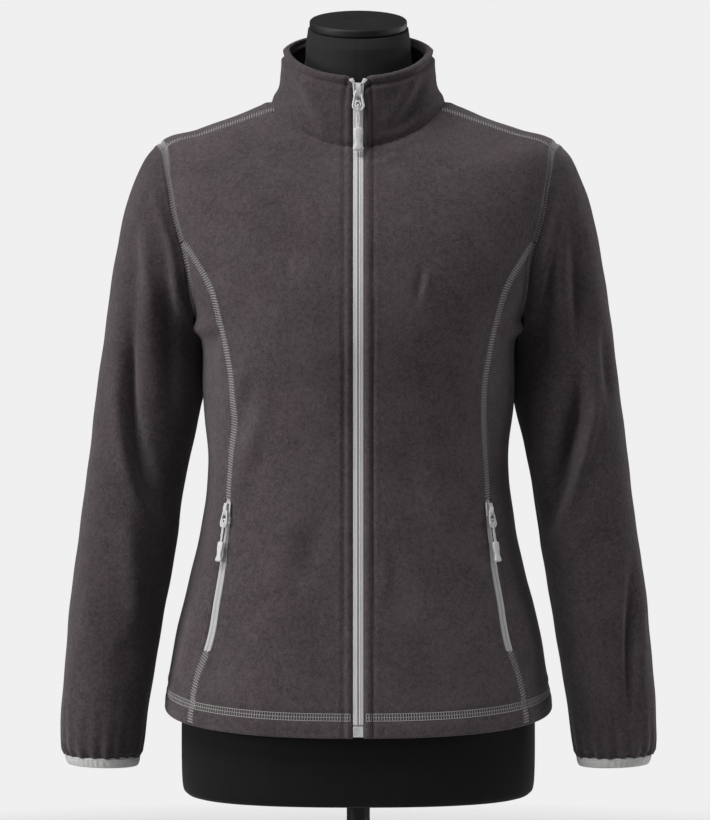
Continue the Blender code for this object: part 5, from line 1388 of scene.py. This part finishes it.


# painted shade: a share under 1 gives a darker copy of the fleece, standing in for the shade that falls
# on the collar and sleeves; the table for a sleeve paints more shade on its inner side, towards the body
def fleeceLook(name, nap=1.0, shaded=None):
    own = fleeceFinish
    dark, light, blush = shades(nap, own["dark"], own["light"], own["blush"])
    look = Finish(name, light, 0.95, Sheen_Weight=0.24, Sheen_Roughness=0.45,
                  Sheen_Tint=(0.82, 0.77, 0.80, 1), Specular_IOR_Level=0.15)
    share, found = 0.5, {}
    for key in ("broad", "cloud", "middle", "fine"):
        *kind, weight = own[key]
        found[key] = look.noise(*kind)
        share = share + (found[key] - 0.5) * weight
    cast = (look.noise(*own["cast"]) * own["castGain"] - own["castDrop"]).held() * own["castShare"]
    tone = look.mix(share.held(), dark, look.mix(cast, light, blush))
    if shaded:
        # painted shade on a sleeve's inner half: darkest at its inner edge next to the body, fading out
        # towards its outer side
        east, _, high = look.parts(look.place())
        fromInner = (east * east) ** 0.5 - (shaded["foot"] - shaded["slope"] * high)
        deep = look.mix(share.held(), *shades(shaded["share"], dark, light))
        tone = look.mix((fromInner * shaded["reach"]).held(), deep, tone)
    look.give("Base Color", tone)
    look.bump(found["fine"] * 0.55 + found["middle"] * 0.45, own["bump"], 0.8)
    look.give("Roughness", 0.9 + found["fine"] * 0.08)
    return look.material


def bindingLook():
    look = Finish("binding", (0.60, 0.60, 0.59), 0.85, Sheen_Weight=0.15, Specular_IOR_Level=0.25)
    ribs, mottle = look.chart()[0].waves(0.0014), look.noise(700, 3, 0.6)
    share = (ribs * 0.35 + mottle * 0.75).held()
    look.give("Base Color", look.mix(share, (0.395, 0.394, 0.390), (0.680, 0.678, 0.670)))
    look.bump(ribs * 0.7 + mottle * 0.5, 0.0004, 0.6)
    return look.material


# a shade under 1 gives a darker copy of the tape: painted shade
def tapeLook(name, shade):
    look = Finish(name, (0.72, 0.72, 0.71), 0.7, Sheen_Weight=0.1, Specular_IOR_Level=0.3)
    aside, up = look.chart()
    ribs, rows, mottle = aside.waves(0.0008), up.waves(0.0011), look.noise(500, 3, 0.6)
    share = (ribs * 0.15 + rows * 0.35 + mottle * 0.55).held()
    look.give("Base Color", look.mix(share, *shades(shade, (0.520, 0.517, 0.512), (0.800, 0.796, 0.788))))
    look.bump(ribs * 0.4 + rows * 0.6, 0.0003, 0.6)
    return look.material


# mottled between two tones; a noise is its scale, detail, roughness and share in the tone
def mottledLook(name, flat, roughness, dark, light, broad, fine, bump, rough=None, **constants):
    look = Finish(name, flat, roughness, **constants)
    broadNoise, fineNoise = look.noise(*broad[:3]), look.noise(*fine[:3])
    share = broadNoise * broad[3]
    share = share + fineNoise * fine[3] if fine[3] else share
    look.give("Base Color", look.mix(share.held(), dark, light))
    look.bump(fineNoise, *bump)
    if rough:
        look.give("Roughness", rough[0] + broadNoise * rough[1])
    return look.material


def threadLook(name, dark, light):
    return mottledLook(name, light, 0.7, dark, light, (900, 2, 0.6, 0.8), (2600, 1, 0.5, 0.3),
                       (0.0002, 0.5), Sheen_Weight=0.1, Specular_IOR_Level=0.3)


def jerseyLook():
    look = Finish("formJersey", (0.006, 0.006, 0.007), 0.85, Sheen_Weight=0.06, Sheen_Roughness=0.4,
                  Specular_IOR_Level=0.22)
    where = look.place()
    x, y, z = look.parts(where)
    knit = (x + y * 0.7).waves(0.0016) * z.waves(0.0013)
    fine = look.noise(800, 2, 0.6, where)
    share = (look.noise(60, 3, 0.6, where) * 0.5 + fine * 0.4 + knit * 0.2).held()
    plain = look.mix(share, (0.0024, 0.0024, 0.0027), (0.0072, 0.0071, 0.0078))
    paler = look.mix(share, (0.0105, 0.0105, 0.0115), (0.0240, 0.0238, 0.0255))
    neckBlock = ((z - 0.92) * 40).held()  # the cloth is smoother over it
    look.give("Base Color", look.mix(neckBlock, plain, paler))
    look.bump(knit * 0.6 + fine * 0.4, 0.0003, 0.5)
    return look.material


print("finishes")
# the collar and sleeve copies of the fleece are darker: painted shade
fleece, collarFleece = fleeceLook("fleece"), fleeceLook("collarFleece", 0.80)
sleeveFleece = fleeceLook("sleeveFleece", 0.82,
                          {"foot": 0.268, "slope": 0.165, "reach": 14, "share": 0.60})
# the pocket tape is a darker copy of the zip tape: painted shade
binding, tape, pocketTape = bindingLook(), tapeLook("zipTape", 1.0), tapeLook("pocketTape", 0.78)
thread = threadLook("seamThread", (0.250, 0.238, 0.238), (0.430, 0.412, 0.410))
threadBed = threadLook("threadBed", (0.066, 0.058, 0.061), (0.125, 0.113, 0.117))
tonal = threadLook("tonalThread", (0.055, 0.046, 0.049), (0.112, 0.093, 0.099))
# the coil's dark tone is painted shade
coilNylon = threadLook("coilNylon", (0.030, 0.029, 0.028), (0.070, 0.068, 0.066))
enamel = mottledLook(
    "sliderEnamel", (0.68, 0.68, 0.68), 0.38, (0.600, 0.600, 0.602), (0.800, 0.798, 0.794),
    (260, 3, 0.6, 0.8), (1500, 2, 0.5, 0), (0.00008, 0.4), (0.30, 0.22),
    Metallic=0.12, Coat_Weight=0.2, Coat_Roughness=0.3)
cord = mottledLook(
    "pullCord", (0.66, 0.66, 0.65), 0.6, (0.540, 0.540, 0.536), (0.820, 0.817, 0.810),
    (300, 2, 0.5, 0.5), (1800, 2, 0.6, 0.5), (0.0002, 0.5), Specular_IOR_Level=0.35)
cap = mottledLook(
    "formCap", (0.014, 0.014, 0.015), 0.55, (0.0072, 0.0072, 0.0077), (0.0125, 0.0125, 0.0134),
    (45, 3, 0.55, 0.7), (900, 2, 0.6, 0.3), (0.00015, 0.4), (0.48, 0.18), Specular_IOR_Level=0.4)
steel = mottledLook(
    "standSteel", (0.02, 0.02, 0.02), 0.45, (0.014, 0.014, 0.015), (0.032, 0.032, 0.033),
    (20, 3, 0.6, 0.6), (700, 2, 0.5, 0.3), (0.00012, 0.5), (0.38, 0.18), Metallic=0.5, Coat_Weight=0.15)


def bothSides(build, name, look):
    for word, side in words.items():
        build(name + word, side, look)


print("body panels")
frontNeck = buildFronts(fleece)
buildSides(fleece)
backNeck = buildBack(fleece)
print("sleeves and bindings")
bothSides(buildSleeve, "sleeve", sleeveFleece)
bothSides(buildBinding, "binding", binding)
print("collar")
buildCollar(frontNeck, backNeck, collarFleece)
print("sewing")
for word in words:
    armholeThreads(word, thread, threadBed)
    princessThreads(word, thread, threadBed)
    shoulderThreads(word, thread, threadBed)
for name in ("frontLeft", "frontRight", "sideLeft", "sideRight", "backPanel"):
    hemThreads(name, thread)
for word in words:
    topstitch("edgeStitches" + word, "front" + word, sewing["frontRuns"], tonal)
topstitch("collarStitches", "collarBand", sewing["collarRuns"], tonal)
print("zips")
bothSides(buildFrontTape, "zipTape", tape)
bothSides(buildTapeEnd, "tapeEnd", tape)
buildCoil(coilNylon)
bothSides(buildPocketTape, "pocketTape", pocketTape)
buildBottomBox(enamel)
for word in ("front", "left", "right"):
    buildSlider(word + "Slider", enamel)
    buildPull(word + "Pull", enamel, cord)
print("dress form and stand")
buildForm(jerseyLook())
buildTurned("neckCap", capCut["outline"], capCut["steps"], cap, capCut["tilt"], capCut["middle"])
buildTurned("standPole", standCut["pole"], standCut["poleSteps"], steel)
buildTurned("standBase", standCut["base"], standCut["baseSteps"], steel)

# the pieces of each slot and the CAD nodes that they stand for; a star is a left and a right one
declared = {
    "fleece": {"front*": "front_*", "side*": "side_*", "backPanel": "back", "sleeve*": "sleeve_*",
               "collarBand": "collar", "edgeStitches*": "", "collarStitches": ""},
    "binding": {"binding*": "cuff_*", "armholeThreads*": "", "armholeBed*": "", "seamThreads*": "",
                "seamBed*": "", "shoulderThreads*": "", "shoulderBed*": "", "hemThreadsFront*": "",
                "hemThreadsSide*": "", "hemThreadsBackPanel": ""},
    "zip_tape": {"zipTape*": "zip_tape_*", "tapeEnd*": "", "zipCoil": "", "zipBottomBox": "zip_box",
                 "pocketTape*": "pocket_tape_*", "frontPullCord": "zip_pull", "frontPullGrip": "zip_pull",
                 "leftPullCord": "pocket_pull_left", "leftPullGrip": "pocket_pull_left",
                 "rightPullCord": "pocket_pull_right", "rightPullGrip": "pocket_pull_right"},
    "slider_enamel": {"frontSlider": "zip_slider", "leftSlider": "pocket_slider_left",
                      "rightSlider": "pocket_slider_right", "frontPull": "zip_pull",
                      "leftPull": "pocket_pull_left", "rightPull": "pocket_pull_right"},
    "form_jersey": {"formBody": "form_torso"}, "form_cap": {"neckCap": "form_neck_cap"},
    "stand_steel": {"standPole": "stand_pole", "standBase": "stand_base"},
}
pullBodies = {"frontPull": "front_pull", "leftPull": "left_pocket_pull", "rightPull": "right_pocket_pull"}
for slot, name, node in ((slot, *row) for slot, rows in declared.items() for row in rows.items()):
    body = pullBodies.get(name.replace("Cord", "").replace("Grip", ""), "jacket_on_form")
    for word in words if "*" in name else ("",):
        piece = pieces[name.replace("*", word)]
        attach(piece, body)
        if node:
            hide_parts(node.replace("*", word.lower()))

# how each sheet is held, and the sewn pieces on it
sheets = {
    "front*": ("draped", "hemThreadsFront", "shoulderThreads", "shoulderBed", "edgeStitches"),
    "side*": ("draped", "hemThreadsSide", "seamThreads", "seamBed"),
    "backPanel": ("draped", "hemThreadsBackPanel"), "sleeve*": ("hung", "armholeThreads", "armholeBed"),
    "binding*": ("stretched",), "collarBand": ("draped", "collarStitches"),
}
for base, (held, *extras) in sheets.items():
    for word in words if "*" in base else ("",):
        name = base.replace("*", word)
        grid, distances = grids[name], edgeDistances(grids[name])
        [pieces[extra + word] for extra in extras]

# place and power of the round lamps, which all face the middle of the jacket
lampCut = {
    "size": 1.3, "aim": (0, 0, 0.62),
    "keyLight": ((-1.25, -1.05, 2.75), 47), "sideLight": ((-2.75, -1.15, 1.05), 45),
    "oppositeLight": ((2.99, -0.10, 0.88), 21), "highLight": ((1.72, 0.0, 3.05), 12),
    "behindLight": ((2.09, 2.09, 1.14), 14),
}
for name in list(lampCut)[2:]:
    light, (place, power) = bpy.data.lights.new(name, "AREA"), lampCut[name]
    light.shape, light.size, light.energy = "DISK", lampCut["size"], power
    holder = bpy.data.objects.new(name, light)
    holder.location = place
    holder.rotation_euler = (Vector(lampCut["aim"]) - Vector(place)).to_track_quat("-Z", "Y").to_euler()
    bpy.context.scene.collection.objects.link(holder)

# the camera sees a pale backdrop, which lights the object only faintly
worldCut = {"backdrop": (0.868, 0.868, 0.866, 1), "fill": 0.10}
bpy.context.scene.view_settings.view_transform = "Standard"
world = bpy.data.worlds.new("studio")
bpy.context.scene.world = world
world.use_nodes = True
nodes, links = world.node_tree.nodes, world.node_tree.links
nodes.clear()
blend, worldEnd = nodes.new("ShaderNodeMixShader"), nodes.new("ShaderNodeOutputWorld")
links.new(nodes.new("ShaderNodeLightPath").outputs["Is Camera Ray"], blend.inputs[0])
for number, strength in ((1, worldCut["fill"]), (2, 1.0)):
    backdrop = nodes.new("ShaderNodeBackground")
    backdrop.inputs[0].default_value, backdrop.inputs[1].default_value = worldCut["backdrop"], strength
    links.new(backdrop.outputs[0], blend.inputs[number])
links.new(blend.outputs[0], worldEnd.inputs[0])

floorCut = {"radius": 1.6, "drop": 0.0005, "fadeFrom": 1.5, "fade": 1.6}
floorLook = Finish("paleFloor", (0.83, 0.83, 0.828), 0.9)
shade = (floorLook.noise(6, 2, 0.5) * 0.6).held()
floorLook.give("Base Color", floorLook.mix(shade, (0.82, 0.82, 0.818), (0.86, 0.86, 0.858)))
east, north, _ = floorLook.parts(floorLook.place())
far = (east * east + north * north) ** 0.5
floorLook.give("Alpha", ((floorCut["fadeFrom"] - far) * floorCut["fade"]).held())
bm = bmesh.new()
bmesh.ops.create_circle(bm, cap_ends=True, segments=96, radius=floorCut["radius"])
bmesh.ops.translate(bm, vec=(0, 0, -floorCut["drop"]), verts=bm.verts)
finished("floor", bm, floorLook.material)

# focal length in millimetres for a sensor 36 high, and how far the middle lies aside as a share of it
cameraCut = {"place": (0, -2.8, 0.62), "sensor": 36, "lens": 2705 / 820 * 36,
             "shift": -(358.3 - 355) / 820, "near": 0.05}
camera = bpy.data.objects.new("camera", bpy.data.cameras.new("camera"))
camera.location, camera.rotation_euler = cameraCut["place"], (math.pi / 2, 0, 0)
camera.data.sensor_fit, camera.data.sensor_height = "VERTICAL", cameraCut["sensor"]
camera.data.lens, camera.data.shift_x = cameraCut["lens"], cameraCut["shift"]
camera.data.clip_start = cameraCut["near"]
bpy.context.scene.collection.objects.link(camera)
bpy.context.scene.camera = camera

print("done")
